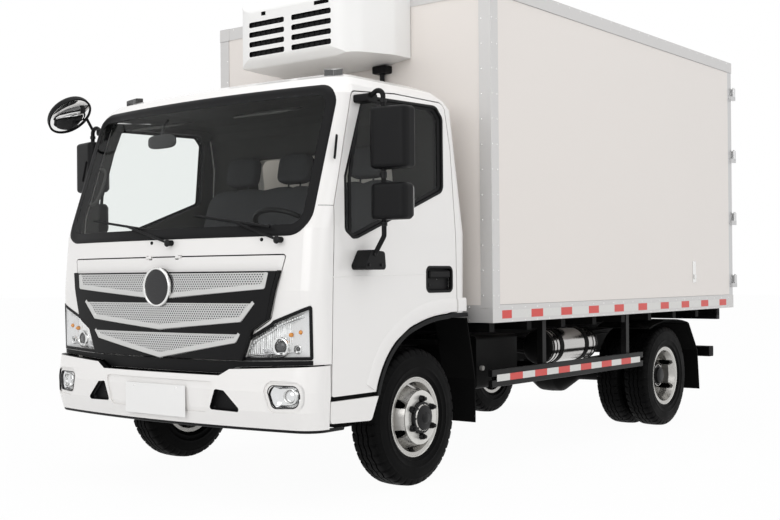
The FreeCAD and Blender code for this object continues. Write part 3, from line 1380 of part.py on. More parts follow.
# Every object has to be sound before anything is written.
doc.recompute()
for item in doc.Objects:
    if "Invalid" in item.State or "Error" in item.State:
        raise RuntimeError(f"{item.Name} did not compute: {item.State}")
for item in PARTS:
    shape = item.Shape
    if shape.isNull() or not shape.isValid():
        raise RuntimeError(f"{item.Label} has no valid shape")
    if not shape.Solids:
        raise RuntimeError(f"{item.Label} holds no solid")
for item in PARTS:
    item.Shape.exportStep(f"parts/{item.Label}.step")
    box = item.Shape.BoundBox
    print(f"{item.Label:18s} solids {len(item.Shape.Solids):3d} x {box.XMin:7.0f} {box.XMax:7.0f} "
          f"y {box.YMin:7.0f} {box.YMax:7.0f} z {box.ZMin:7.0f} {box.ZMax:7.0f}")
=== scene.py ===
import json
import math

import bmesh
import bpy
import numpy as np
from mathutils import Matrix, Vector


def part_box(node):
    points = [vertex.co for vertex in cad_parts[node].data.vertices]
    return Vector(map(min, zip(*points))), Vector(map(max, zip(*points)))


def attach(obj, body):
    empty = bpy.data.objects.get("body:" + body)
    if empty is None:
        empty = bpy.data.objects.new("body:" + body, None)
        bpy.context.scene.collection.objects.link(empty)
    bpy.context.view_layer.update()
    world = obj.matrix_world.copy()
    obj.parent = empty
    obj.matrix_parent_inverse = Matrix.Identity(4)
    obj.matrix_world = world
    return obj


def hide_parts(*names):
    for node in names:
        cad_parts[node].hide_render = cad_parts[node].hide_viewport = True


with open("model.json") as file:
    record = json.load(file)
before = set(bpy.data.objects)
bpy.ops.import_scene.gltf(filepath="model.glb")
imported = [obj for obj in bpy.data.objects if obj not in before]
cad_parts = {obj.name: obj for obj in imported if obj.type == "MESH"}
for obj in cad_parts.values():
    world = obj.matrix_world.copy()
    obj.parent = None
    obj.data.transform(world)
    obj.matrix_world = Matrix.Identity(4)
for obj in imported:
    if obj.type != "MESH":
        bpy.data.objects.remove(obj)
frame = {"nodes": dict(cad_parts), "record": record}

# Finishes and details of the refrigerated truck. Detail sizes are millimetres with Y from the front axle;
# mm() turns them into the frame's metres.

NODES = frame["nodes"]


# The front axle's place along the truck, the axles' height and the wheelbase
AXLE_Y = float(sum(c[1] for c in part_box("front_axle_beam")) / 2)
AXLE_Z = 388
WHEELBASE = 3360


# Node groups


def new_group(name, inputs, outputs):
    """An empty shader node group with its named sockets."""
    group = bpy.data.node_groups.new(name, "ShaderNodeTree")
    for label, kind, value in inputs:
        socket = group.interface.new_socket(label, in_out="INPUT", socket_type=kind)
        socket.default_value = value
    for label, kind in outputs:
        group.interface.new_socket(label, in_out="OUTPUT", socket_type=kind)
    start = group.nodes.new("NodeGroupInput")
    end = group.nodes.new("NodeGroupOutput")
    return group, start, end


def math_node(group, operation, first, second=None, third=None, clamp=False):
    """A math node whose inputs are sockets or plain numbers; gives its output."""
    node = group.nodes.new("ShaderNodeMath")
    node.operation = operation
    node.use_clamp = clamp
    for socket, value in zip(node.inputs, (first, second, third)):
        if value is None:
            continue
        if isinstance(value, (int, float)):
            socket.default_value = value
        else:
            group.links.new(value, socket)
    return node.outputs[0]


def wear_group():
    """Colour mottle, fine grain and a slow roughness change, all from object coordinates."""
    group, start, end = new_group("surface wear", (
        ("Color", "NodeSocketColor", (0.8, 0.8, 0.8, 1)), ("Roughness", "NodeSocketFloat", 0.5),
        ("Mottle", "NodeSocketFloat", 0.04), ("Scale", "NodeSocketFloat", 3.0),
        ("Grain", "NodeSocketFloat", 0.0), ("Grain Scale", "NodeSocketFloat", 600.0),
    ), (("Color", "NodeSocketColor"), ("Roughness", "NodeSocketFloat"), ("Normal", "NodeSocketVector")))
    link = group.links.new
    place = group.nodes.new("ShaderNodeTexCoord")
    slow = group.nodes.new("ShaderNodeTexNoise")
    slow.inputs["Detail"].default_value = 5
    link(place.outputs["Object"], slow.inputs["Vector"])
    link(start.outputs["Scale"], slow.inputs["Scale"])
    centred = math_node(group, "SUBTRACT", slow.outputs["Fac"], 0.5)
    amount = math_node(group, "MULTIPLY", centred, start.outputs["Mottle"])
    tint = group.nodes.new("ShaderNodeVectorMath")
    tint.operation = "SCALE"
    link(start.outputs["Color"], tint.inputs[0])
    link(math_node(group, "ADD", amount, 1.0), tint.inputs["Scale"])
    link(tint.outputs[0], end.inputs["Color"])
    link(math_node(group, "MULTIPLY_ADD", amount, 1.6, start.outputs["Roughness"], clamp=True),
         end.inputs["Roughness"])
    fine = group.nodes.new("ShaderNodeTexNoise")
    fine.inputs["Detail"].default_value = 2
    link(place.outputs["Object"], fine.inputs["Vector"])
    link(start.outputs["Grain Scale"], fine.inputs["Scale"])
    bump = group.nodes.new("ShaderNodeBump")
    bump.inputs["Distance"].default_value = 0.0006
    link(start.outputs["Grain"], bump.inputs["Strength"])
    link(fine.outputs["Fac"], bump.inputs["Height"])
    link(bump.outputs["Normal"], end.inputs["Normal"])
    return group


def perforation_group():
    """Round holes in staggered rows across X and Z: two grids, the second half a pitch along and up, and the
    nearer of their centres decides."""
    group, start, end = new_group("perforation", (
        ("Across", "NodeSocketFloat", 0.0165), ("Up", "NodeSocketFloat", 0.0244),
        ("Radius", "NodeSocketFloat", 0.004),
    ), (("Hole", "NodeSocketFloat"),))
    link = group.links.new
    place = group.nodes.new("ShaderNodeTexCoord")
    parts = group.nodes.new("ShaderNodeSeparateXYZ")
    link(place.outputs["Object"], parts.inputs[0])
    distances = []
    for shift in (0.0, 0.5):
        squares = []
        for axis, label in (("X", "Across"), ("Z", "Up")):
            pitch = start.outputs[label]
            half = math_node(group, "MULTIPLY", pitch, 0.5)
            moved = math_node(group, "MULTIPLY_ADD", pitch, shift, parts.outputs[axis])
            wrapped = math_node(group, "WRAP", moved, half, math_node(group, "MULTIPLY", half, -1.0))
            squares.append(math_node(group, "MULTIPLY", wrapped, wrapped))
        distances.append(math_node(group, "SQRT", math_node(group, "ADD", *squares)))
    nearest = math_node(group, "MINIMUM", *distances)
    link(math_node(group, "LESS_THAN", nearest, start.outputs["Radius"]), end.inputs["Hole"])
    return group


WEAR = wear_group()
PERFORATION = perforation_group()


def finish(name, color, roughness, metallic=0.0, mottle=0.03, scale=3.0, grain=0.0, grain_scale=600.0,
           **sockets):
    """A Principled material whose colour, roughness and normal pass through the wear group."""
    material = bpy.data.materials.new(name)
    material.use_nodes = True
    tree = material.node_tree
    shader = tree.nodes["Principled BSDF"]
    group = tree.nodes.new("ShaderNodeGroup")
    group.name = "wear"
    group.node_tree = WEAR
    values = {"Color": (*color, 1), "Roughness": roughness, "Mottle": mottle, "Scale": scale, "Grain": grain,
              "Grain Scale": grain_scale}
    for label, value in values.items():
        group.inputs[label].default_value = value
    tree.links.new(group.outputs["Color"], shader.inputs["Base Color"])
    tree.links.new(group.outputs["Roughness"], shader.inputs["Roughness"])
    if grain:
        tree.links.new(group.outputs["Normal"], shader.inputs["Normal"])
    shader.inputs["Metallic"].default_value = metallic
    for label, value in sockets.items():
        shader.inputs[label.replace("_", " ")].default_value = value
    return material


def perforated(material, dark, across, up, radius):
    """The material's colour with dark round holes, bright metal between them."""
    tree = material.node_tree
    shader = tree.nodes["Principled BSDF"]
    holes = tree.nodes.new("ShaderNodeGroup")
    holes.node_tree = PERFORATION
    for label, value in (("Across", across), ("Up", up), ("Radius", radius)):
        holes.inputs[label].default_value = value
    mix = tree.nodes.new("ShaderNodeMix")
    mix.data_type = "RGBA"
    mix.inputs["B"].default_value = (*dark, 1)
    tree.links.new(holes.outputs["Hole"], mix.inputs["Factor"])
    tree.links.new(tree.nodes["wear"].outputs["Color"], mix.inputs["A"])
    tree.links.new(mix.outputs["Result"], shader.inputs["Base Color"])
    metal = math_node(tree, "MULTIPLY_ADD", holes.outputs["Hole"], -0.8, 0.8)
    tree.links.new(metal, shader.inputs["Metallic"])
    return material


PAINT = finish("cab paint", (0.79, 0.775, 0.755), 0.28, mottle=0.012, scale=1.2, Coat_Weight=0.6,
               Coat_Roughness=0.06)
PANEL = finish("box gel coat", (0.75, 0.705, 0.665), 0.30, mottle=0.02, scale=0.9, Coat_Weight=0.25,
               Coat_Roughness=0.12)
UNIT = finish("unit shell", (0.81, 0.805, 0.79), 0.36, mottle=0.02, scale=2.0)
ALLOY = finish("box aluminium", (0.62, 0.61, 0.60), 0.42, metallic=0.45, mottle=0.05, scale=6, grain=0.05)
STEEL = finish("door steel", (0.58, 0.58, 0.58), 0.33, metallic=0.9, mottle=0.05, scale=6, grain=0.05)
BRIGHT = finish("bright metal", (0.80, 0.80, 0.79), 0.16, metallic=1.0, mottle=0.02)
SATIN = finish("satin band", (0.60, 0.60, 0.59), 0.32, metallic=0.8, mottle=0.02)
MESH = perforated(finish("grille mesh", (0.56, 0.56, 0.555), 0.3, metallic=0.8, mottle=0.03),
                  (0.02, 0.02, 0.02), 0.0165, 0.0244, 0.0042)
TANK = finish("polished tank", (0.50, 0.49, 0.48), 0.17, metallic=1.0, mottle=0.05, scale=8)
RIM = finish("wheel silver", (0.48, 0.47, 0.45), 0.27, metallic=0.85, mottle=0.08, scale=9, grain=0.05)
FLANGE = finish("bolt face", (0.66, 0.65, 0.62), 0.30, metallic=0.5, mottle=0.06, scale=14)
BLACK = finish("black plastic", (0.006, 0.006, 0.0065), 0.45, mottle=0.10, scale=6, grain=0.15,
               grain_scale=900, Specular_IOR_Level=0.13)
GLOSS = finish("gloss black", (0.006, 0.006, 0.007), 0.10, mottle=0.05)
DARK = finish("chassis black", (0.003, 0.003, 0.003), 0.50, mottle=0.2, scale=5, grain=0.1,
              Specular_IOR_Level=0.06)
GUARD = finish("guard rail paint", (0.005, 0.005, 0.005), 0.38, mottle=0.2, scale=5, grain=0.1,
               Specular_IOR_Level=0.15)
RUBBER = finish("flap rubber", (0.003, 0.003, 0.003), 0.7, mottle=0.2, scale=7, grain=0.25,
                Specular_IOR_Level=0.06)
SEAL = finish("seal rubber", (0.005, 0.005, 0.005), 0.55, mottle=0.1, scale=20, Specular_IOR_Level=0.15)
TYRE = finish("tyre rubber", (0.0025, 0.0025, 0.0026), 0.55, mottle=0.25, scale=9, grain=0.2,
              grain_scale=500, Specular_IOR_Level=0.05)
CLOTH = finish("seat cloth", (0.055, 0.055, 0.058), 0.85, mottle=0.25, scale=14, grain=0.5, grain_scale=1200,
               Specular_IOR_Level=0.2)
LINING = finish("cab lining", (0.055, 0.054, 0.051), 0.75, mottle=0.08, scale=6, grain=0.2, grain_scale=700,
                Specular_IOR_Level=0.2)
NUT = finish("wheel nut cap", (0.006, 0.006, 0.0065), 0.35, mottle=0.2, scale=30, Specular_IOR_Level=0.2)
SMOKE = finish("smoked lens", (0.05, 0.05, 0.05), 0.12, mottle=0.05, Coat_Weight=0.5)
AMBER = finish("amber lens", (0.75, 0.28, 0.03), 0.15, mottle=0.05, Coat_Weight=0.5)
RED = finish("red lens", (0.55, 0.015, 0.012), 0.2, mottle=0.08, Coat_Weight=0.5)
TAPE_RED = finish("red marking tape", (0.62, 0.055, 0.045), 0.38, mottle=0.10, scale=40, grain=0.1)
TAPE_WHITE = finish("white marking tape", (0.66, 0.655, 0.63), 0.34, mottle=0.10, scale=40, grain=0.1)
PLATE = finish("blank plate", (0.80, 0.795, 0.78), 0.35, mottle=0.02)
# Painted shade: a black with no reflection, put in the cooling unit's vents and slots where only shade
# falls.
VENT_SHADE = finish("painted vent shade", (0.005, 0.005, 0.005), 0.8, Specular_IOR_Level=0.0)
REFLECTOR = finish("lamp reflector", (0.86, 0.86, 0.85), 0.16, metallic=0.85, mottle=0.55, scale=38)
BOWL = finish("lamp bowl", (0.78, 0.78, 0.78), 0.16, metallic=1.0, mottle=0.02)
MIRROR = finish("mirror glass", (0.86, 0.86, 0.86), 0.03, metallic=1.0, mottle=0.0)
SEALANT = finish("sealant", (0.45, 0.44, 0.43), 0.6, mottle=0.1, scale=12)
WHITE_LENS = finish("white lens", (0.72, 0.72, 0.71), 0.2, mottle=0.05, Coat_Weight=0.5)


# How much of Fresnel's share the glass reflects
GLASS_GLOSS = 0.4


def glass(name, color):
    """Tinted glass: a clear part and a glossy part, mixed by a share of Fresnel on outer faces only."""
    material = bpy.data.materials.new(name)
    material.use_nodes = True
    tree = material.node_tree
    tree.nodes.remove(tree.nodes["Principled BSDF"])
    out = tree.nodes["Material Output"]
    clear = tree.nodes.new("ShaderNodeBsdfTransparent")
    clear.inputs["Color"].default_value = (*color, 1)
    gloss = tree.nodes.new("ShaderNodeBsdfGlossy")
    gloss.inputs["Roughness"].default_value = 0.02
    gloss.inputs["Color"].default_value = (0.95, 0.95, 0.95, 1)
    edge = tree.nodes.new("ShaderNodeFresnel")
    edge.inputs["IOR"].default_value = 1.45
    mix = tree.nodes.new("ShaderNodeMixShader")
    sides = tree.nodes.new("ShaderNodeNewGeometry")
    near = math_node(tree, "MULTIPLY_ADD", sides.outputs["Backfacing"], -GLASS_GLOSS, GLASS_GLOSS)
    tree.links.new(math_node(tree, "MULTIPLY", edge.outputs[0], near), mix.inputs[0])
    tree.links.new(clear.outputs[0], mix.inputs[1])
    tree.links.new(gloss.outputs[0], mix.inputs[2])
    tree.links.new(mix.outputs[0], out.inputs["Surface"])
    return material


WINDOW = glass("window glass", (0.955, 0.965, 0.96))
LENS = glass("lamp lens", (0.97, 0.975, 0.98))

FINISH_OF = {
    "cab_paint": PAINT, "window_glass": WINDOW, "lamp_lens": LENS, "bright_mesh": MESH,
    "black_plastic": BLACK, "dark_rubber": RUBBER, "seat_cloth": CLOTH, "tyre": TYRE, "wheel_silver": RIM,
    "polished_steel": TANK, "door_steel": STEEL, "box_panel": PANEL, "unit_shell": UNIT,
    "smoked_lens": SMOKE, "lamp_red": BLACK, "chassis_black": DARK,
}
SLOT_OF = {row["node"]: row["material_slot"] for row in frame["record"]["subparts"]}


# Surfaces worked out with numpy


def mm(points):
    """Points in millimetres with Y from the front axle, as the frame's metres."""
    return np.asarray(points, float) / 1000 + np.array((0.0, AXLE_Y, 0.0))


def many(parts):
    """Several (points, quads) pairs as one pair."""
    points, quads, start = [], [], 0
    for p, q in parts:
        p = np.asarray(p, float).reshape(-1, 3)
        points.append(p)
        quads.append(np.asarray(q) + start)
        start += len(p)
    return np.concatenate(points), np.concatenate(quads)


def new_piece(name, parts, body, material, closed=True, sharp=35):
    """An object from a (points, quads) pair in millimetres, or a list of such pairs, riding on a body. Its
    double points are merged, and a closed one has its normals turned outwards."""
    points, quads = many(parts) if isinstance(parts, list) else parts
    points = np.ascontiguousarray(mm(points), dtype=np.float32).reshape(-1, 3)
    quads = np.ascontiguousarray(quads, dtype=np.int32).reshape(-1, 4)
    mesh = bpy.data.meshes.new(name)
    mesh.vertices.add(len(points))
    mesh.vertices.foreach_set("co", points.ravel())
    mesh.loops.add(quads.size)
    mesh.loops.foreach_set("vertex_index", quads.ravel())
    mesh.polygons.add(len(quads))
    mesh.polygons.foreach_set("loop_start", np.arange(0, quads.size, 4, dtype=np.int32))
    mesh.update(calc_edges=True)
    joined = bmesh.new()
    joined.from_mesh(mesh)
    bmesh.ops.remove_doubles(joined, verts=joined.verts, dist=2e-5)
    bmesh.ops.dissolve_degenerate(joined, edges=joined.edges, dist=1e-6)
    if closed:
        bmesh.ops.recalc_face_normals(joined, faces=joined.faces)
    joined.to_mesh(mesh)
    joined.free()
    mesh.validate()
    mesh.materials.append(material)
    mesh.shade_smooth()
    mesh.set_sharp_from_angle(angle=math.radians(sharp))
    obj = bpy.data.objects.new(name, mesh)
    bpy.context.scene.collection.objects.link(obj)
    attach(obj, body)
    return obj


def grid_quads(rows, columns, close_rows=False, close_columns=False):
    """The quads of a grid of points, as one array; a closed direction joins its last line to its first."""
    r = np.arange(rows if close_rows else rows - 1)[:, None]
    c = np.arange(columns if close_columns else columns - 1)[None, :]
    r_next = (r + 1) % rows
    c_next = (c + 1) % columns
    return np.stack(np.broadcast_arrays(r * columns + c, r * columns + c_next, r_next * columns + c_next,
                                        r_next * columns + c), -1).reshape(-1, 4)


def turned(profile, centre, axis, count, close_rows=False):
    """A profile of (distance along the axis, radius) carried round an axis: each point is centre + axis * a
    + radius * (cos, sin) in the plane across it."""
    profile = np.asarray(profile, float)
    axis = np.asarray(axis, float) / np.linalg.norm(axis)
    first = np.cross(axis, (0, 0, 1) if abs(axis[2]) < 0.9 else (0, 1, 0))
    first /= np.linalg.norm(first)
    second = np.cross(axis, first)
    angle = np.linspace(0, 2 * np.pi, count, endpoint=False)[None, :, None]
    radius = profile[:, 1][:, None, None]
    points = (np.asarray(centre, float) + profile[:, 0][:, None, None] * axis
              + radius * (np.cos(angle) * first + np.sin(angle) * second))
    return points.reshape(-1, 3), grid_quads(len(profile), count, close_rows=close_rows, close_columns=True)


def dome(height, radius, steps=7):
    """A profile from a rim to a closed crown: (height * sin, radius * cos) over a quarter turn."""
    angle = np.linspace(0, np.pi / 2, steps)
    return np.stack([height * np.sin(angle), radius * np.cos(angle)], -1)


def button(foot, height, radius, steps, centre, axis, count, lift=0.0):
    """A domed cap turned round an axis: its foot as (distance along the axis, radius), then a dome."""
    return turned(np.concatenate([[foot], dome(height, radius, steps) + (lift, 0)]), centre, axis, count)


def tube(path, radius, sides=12):
    """A round section carried along a path; each section stands across the path's tangent, and both ends are
    closed on their middles."""
    path = np.asarray(path, float)
    tangent = np.gradient(path, axis=0)
    tangent /= np.linalg.norm(tangent, axis=1)[:, None]
    reference = np.array((0.0, 0.0, 1.0))
    if np.abs(tangent @ reference).max() > 0.95:
        across = np.abs(tangent[:, 0]).max() < 0.95
        reference = np.array((1.0, 0.0, 0.0)) if across else np.array((0.3, 0.9, 0.3))
    side = np.cross(tangent, reference)
    side /= np.linalg.norm(side, axis=1)[:, None]
    over = np.cross(side, tangent)
    angle = np.linspace(0, 2 * np.pi, sides, endpoint=False)[None, :, None]
    radius = np.broadcast_to(np.asarray(radius, float), (len(path),))[:, None, None]
    points = path[:, None] + radius * (np.cos(angle) * side[:, None] + np.sin(angle) * over[:, None])
    middle = np.stack([path[0], path[-1]])
    start = len(path) * sides
    ring = np.arange(sides)
    following = (ring + 1) % sides
    first, last = np.full(sides, start), np.full(sides, start + 1)
    back = start - sides
    quads = np.concatenate([grid_quads(len(path), sides, close_columns=True),
                            np.stack([first, following, ring, first], -1),
                            np.stack([last, ring + back, following + back, last], -1)])
    return np.concatenate([points.reshape(-1, 3), middle]), quads


def smooth_path(corners, count=40):
    """A path through the corners: the Catmull-Rom curve of each run, sampled evenly."""
    p = np.asarray(corners, float)
    p = np.concatenate([2 * p[:1] - p[1:2], p, 2 * p[-1:] - p[-2:-1]])
    t = np.linspace(0, len(p) - 3 - 1e-9, count)
    i = t.astype(int)
    f = (t - i)[:, None]
    a, b, c, d = p[i], p[i + 1], p[i + 2], p[i + 3]
    square, cube = 2 * a - 5 * b + 4 * c - d, 3 * b - a - 3 * c + d
    return 0.5 * (2 * b + (c - a) * f + square * f ** 2 + cube * f ** 3)


def slab(low, high, edge=2.0):
    """A box with chamfered edges: its twelve edges are cut back by the same amount."""
    low, high = np.asarray(low, float), np.asarray(high, float)
    low, high = np.minimum(low, high), np.maximum(low, high)
    e = min(edge, 0.45 * float((high - low).min()))
    x0, y0, z0 = low
    x1, y1, z1 = high
    rings = []
    for z, inset_by in ((z0, e), (z0 + e, 0), (z1 - e, 0), (z1, e)):
        a, b, c, d = x0 + inset_by, x1 - inset_by, y0 + inset_by, y1 - inset_by
        rings.append([(a + e, c, z), (b - e, c, z), (b, c + e, z), (b, d - e, z),
                      (b - e, d, z), (a + e, d, z), (a, d - e, z), (a, c + e, z)])
    quads = grid_quads(4, 8, close_columns=True)
    caps = np.array([(0, 7, 2, 1), (7, 6, 3, 2), (6, 5, 4, 3), (24, 25, 26, 31), (31, 26, 27, 30),
                     (30, 27, 28, 29)])
    return np.array(rings).reshape(-1, 3), np.concatenate([quads, caps])


def outline(corners, step=40, bend=9):
    """A closed outline through (u, v, radius) corners: arcs at corners, long runs cut into short steps."""
    runs = []
    count = len(corners)
    for i, corner in enumerate(corners):
        here = np.array(corner[:2], float)
        radius = corner[2] if len(corner) > 2 else 0
        if not radius:
            runs.append(here[None])
            continue
        back = np.array(corners[i - 1][:2], float) - here
        ahead = np.array(corners[(i + 1) % count][:2], float) - here
        back /= np.linalg.norm(back)
        ahead /= np.linalg.norm(ahead)
        half = np.arccos(np.clip(back @ ahead, -1, 1)) / 2
        middle = (back + ahead) / np.linalg.norm(back + ahead)
        centre = here + middle * radius / np.sin(half)
        start = here + back * radius / np.tan(half) - centre
        end = here + ahead * radius / np.tan(half) - centre
        first = np.arctan2(start[1], start[0])
        sweep = (np.arctan2(end[1], end[0]) - first + np.pi) % (2 * np.pi) - np.pi
        angle = first + sweep * np.linspace(0, 1, bend)
        runs.append(centre + radius * np.stack([np.cos(angle), np.sin(angle)], -1))
    points = np.concatenate(runs)
    following = np.roll(points, -1, 0)
    parts = np.maximum(1, np.ceil(np.linalg.norm(following - points, axis=1) / step)).astype(int)
    index = np.repeat(np.arange(len(points)), parts)
    t = (np.arange(parts.sum()) - np.repeat(np.cumsum(parts) - parts, parts)) / np.repeat(parts, parts)
    return points[index] * (1 - t[:, None]) + following[index] * t[:, None]


def inset(loop, distance):
    """The loop moved inwards: each point goes along the mitre of its two runs."""
    ahead = np.roll(loop, -1, 0) - loop
    ahead = ahead / np.maximum(np.linalg.norm(ahead, axis=1), 1e-9)[:, None]
    back = np.roll(ahead, 1, 0)
    area = 0.5 * np.sum(loop[:, 0] * np.roll(loop[:, 1], -1) - loop[:, 1] * np.roll(loop[:, 0], -1))
    n_ahead = np.stack([-ahead[:, 1], ahead[:, 0]], -1)
    n_back = np.stack([-back[:, 1], back[:, 0]], -1)
    mitre = (n_ahead + n_back) / np.maximum(1 + (n_ahead * n_back).sum(1), 0.35)[:, None]
    return loop + mitre * distance * np.sign(area)


def band(loop, rings, surface):
    """A closed ring along a loop on a surface: each of its lines is the loop moved in by one value and out
    from the surface by another."""
    lines = [surface(*inset(loop, inwards).T, out) for inwards, out in rings]
    return np.concatenate(lines), grid_quads(len(rings), len(loop), close_rows=True, close_columns=True)


def cover(loop, rings, surface):
    """A plate that fills a loop on a surface: lines of the loop drawn towards its middle by each share, with
    their own distance out; the last line is the middle point."""
    middle = loop.mean(0)
    lines = [surface(*(middle + (loop - middle) * share).T, out) for share, out in rings]
    return np.concatenate(lines), grid_quads(len(rings), len(loop), close_columns=True)


# How far the cab's front and the bumper bow back, as a share of x squared
BOW = 85 / 930 ** 2
# Columns of the level tables: foremost line, half width and rear line at a height
FRONT, HALF, REAR = 1, 2, 3


def level(levels, column, z):
    """A column of a level table at each height."""
    return np.interp(z, levels[:, 0], levels[:, column])


def skin(levels, corner):
    """Points on a bowed front with round corners: s along it from the middle, z up, d out along the level
    normal. The bow is y = front + BOW * s * s, the corner an arc that ends on the straight side."""
    def place(s, z, d=0.0):
        """The points at s, z and d."""
        s, z, d = np.broadcast_arrays(np.asarray(s, float), np.asarray(z, float), np.asarray(d, float))
        front = level(levels, FRONT, z)
        half = level(levels, HALF, z)
        a = np.abs(s)
        bend = np.arctan(2 * BOW * (half - corner))
        reach = corner * np.tan((np.pi / 2 - bend) / 2)
        x_end = half - reach * np.cos(bend)
        y_side = front + BOW * x_end ** 2 + 2 * BOW * x_end * (half - x_end) + reach
        angle = np.clip(bend + (a - x_end) / corner, bend, np.pi / 2)
        past = np.maximum(a - x_end - corner * (np.pi / 2 - bend), 0)
        flat = a <= x_end
        slope = 2 * BOW * a
        nx = np.where(flat, slope / np.hypot(1, slope), np.sin(angle))
        ny = -np.where(flat, 1 / np.hypot(1, slope), np.cos(angle))
        x = np.where(flat, a, half - corner + corner * np.sin(angle))
        y = np.where(flat, front + BOW * a ** 2, y_side - corner * np.cos(angle)) + past
        return np.stack([np.where(s < 0, -1, 1) * (x + nx * d), y + ny * d, z], -1)

    return place


CAB_HALF, CAB_TOP = 1030, 2300
# Height, foremost line, half width and rear line of the cab's and the bumper's outside
CAB_LEVELS = np.array([(558, -991, 1030, 471), (1110, -1003, 1030, 476), (1430, -973, 1030, 482),
                       (2150, -722, 1000, 394), (2200, -691, 978, 362), (2248, -635, 932, 305),
                       (2282, -533, 850, 200), (2300, -353, 700, 20)], float)
BUMPER_LEVELS = np.array([(404, -1026, 1030, 400), (494, -1056, 1030, 400), (594, -1060, 1030, 400),
                          (738, -1038, 1030, 400)], float)
face = skin(CAB_LEVELS, 110)
bumper_face = skin(BUMPER_LEVELS, 130)


def flank(way):
    """Points on the cab's side: y along it, z up, d out."""
    def place(y, z, d=0.0):
        """The points at y, z and d."""
        y, z, d = np.broadcast_arrays(np.asarray(y, float), np.asarray(z, float), np.asarray(d, float))
        return np.stack([way * (level(CAB_LEVELS, HALF, z) + d), y, z], -1)

    return place


def on_side(corners, side):
    """A left-hand loop's corners on the left (1) or the right (-1) of the centre line."""
    return [(side * c[0],) + tuple(c[1:]) for c in corners]


SIDES = ((1, "left"), (-1, "right"))


# Outlines on the cab: the windscreen, grille rows, lamps and intakes as s and z, the door window as y and z

SCREEN = [(946, 1424, 95), (930, 2168, 90)]
SCREEN = SCREEN + on_side(SCREEN, -1)[::-1]
DOOR_WINDOW = [(-652, 1428, 20), (-596, 1392, 20), (-560, 1395, 30), (238, 1676, 45), (262, 2090, 30),
               (205, 2148, 45), (-462, 2132, 60), (-640, 1700)]
HANDLE_RECESS = [(72, 1096, 24), (318, 1096, 24), (318, 1226, 24), (72, 1226, 24)]
LAMP = [(565, 752, 8), (570, 800), (640, 872), (762, 936), (780, 952, 8), (995, 1030, 8), (995, 765, 8)]
FOG = [(770, 628, 30), (966, 628, 40), (960, 520, 40), (806, 512, 30)]
INTAKE = [(445, 598, 14), (505, 592, 14), (622, 482, 14), (402, 488, 14)]
# Top height, half width at the top, height and half width of the lower corners, height at the middle
GRILLE_ROWS = ((1206, 764, 1120, 748, 1062), (1046, 684, 948, 598, 896), (884, 588, 838, 560, 742))
# Thickness of the cab's wall, how deep the door panes lie and where and how far they lean inwards
CAB_WALL = 55
PANE_DEEP = 18
PANE_FOOT = 1430
PANE_LEAN = 30 / 720


def pane(way):
    """Points on a door window's outer face: it leans inwards above its lower edge."""
    def place(y, z, d=0.0):
        """The points at y, z and d."""
        y, z, d = np.broadcast_arrays(np.asarray(y, float), np.asarray(z, float), np.asarray(d, float))
        x = CAB_HALF - PANE_DEEP - np.maximum(z - PANE_FOOT, 0) * PANE_LEAN
        return np.stack([way * (x + d), y, z], -1)

    return place


def strip(path, rings, surface):
    """A closed section carried along an open path on a surface: each of its lines lies to the path's left by
    one value and out from the surface by another; both ends close on the section's middle."""
    path = np.asarray(path, float)
    ahead = np.gradient(path, axis=0)
    ahead /= np.linalg.norm(ahead, axis=1)[:, None]
    left = np.stack([-ahead[:, 1], ahead[:, 0]], -1)
    lines = np.stack([surface(*(path + left * across).T, out) for across, out in rings], 1)
    middle = lines[[0, -1]].mean(1)
    first = np.repeat(middle[:1, None], len(rings), 1)
    last = np.repeat(middle[1:, None], len(rings), 1)
    lines = np.concatenate([first, lines, last])
    return lines.reshape(-1, 3), grid_quads(len(lines), len(rings), close_columns=True)


def along(corners, step=25):
    """An open path through (u, v) corners, cut into short steps."""
    p = np.asarray(corners, float)
    parts = np.maximum(1, np.ceil(np.linalg.norm(np.diff(p, axis=0), axis=1) / step)).astype(int)
    t = np.concatenate([i + np.arange(n) / n for i, n in enumerate(parts)] + [[len(parts)]])
    index = np.arange(len(p))
    return np.stack([np.interp(t, index, p[:, 0]), np.interp(t, index, p[:, 1])], -1)


def near_loop(points, loop, reach=3.0):
    """Whether each (u, v) point lies within reach of the loop's line: the least distance to its segments."""
    step = np.roll(loop, -1, 0) - loop
    way = points[:, None] - loop[None]
    share = np.clip((way * step).sum(2) / np.maximum((step ** 2).sum(1), 1e-9), 0, 1)
    gap = np.linalg.norm(way - share[..., None] * step, axis=2)
    return gap.min(1) < reach


# Finishes on the CAD nodes

# The cooling unit's foot, and the foot and pitch of its vents above it
UNIT_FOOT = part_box("cooling_unit")[1][2] * 1000 - 432
VENT_FOOT, VENT_PITCH = 76, 62


def face_middles(obj):
    """Middles and normals of an object's faces, the middles in millimetres with Y from the front axle."""
    count = len(obj.data.polygons)
    middles = np.empty(count * 3)
    normals = np.empty(count * 3)
    obj.data.polygons.foreach_get("center", middles)
    obj.data.polygons.foreach_get("normal", normals)
    middles = middles.reshape(-1, 3) - np.array((0.0, AXLE_Y, 0.0))
    return middles * 1000, normals.reshape(-1, 3)


def cab_depth(points):
    """How deep points lie in the cab: the least of their depths from its sides, face, rear and top."""
    x, y, z = points.T
    front = level(CAB_LEVELS, FRONT, z) + BOW * x ** 2
    return np.min([level(CAB_LEVELS, HALF, z) - np.abs(x), y - front, level(CAB_LEVELS, REAR, z) - y,
                   CAB_TOP - z], axis=0)


def paint_faces(obj, choices):
    """Gives faces of a CAD node further materials: (material, mask over its faces) pairs."""
    index = np.zeros(len(obj.data.polygons), dtype=np.int32)
    for number, (material, mask) in enumerate(choices, start=1):
        obj.data.materials.append(material)
        index[mask] = number
    obj.data.polygons.foreach_set("material_index", index)


def dress(name, obj):
    """A CAD node's material and its sharp edges."""
    obj.data.materials.clear()
    obj.data.materials.append(FINISH_OF[SLOT_OF[name]])
    obj.data.shade_smooth()
    obj.data.set_sharp_from_angle(angle=math.radians(30))


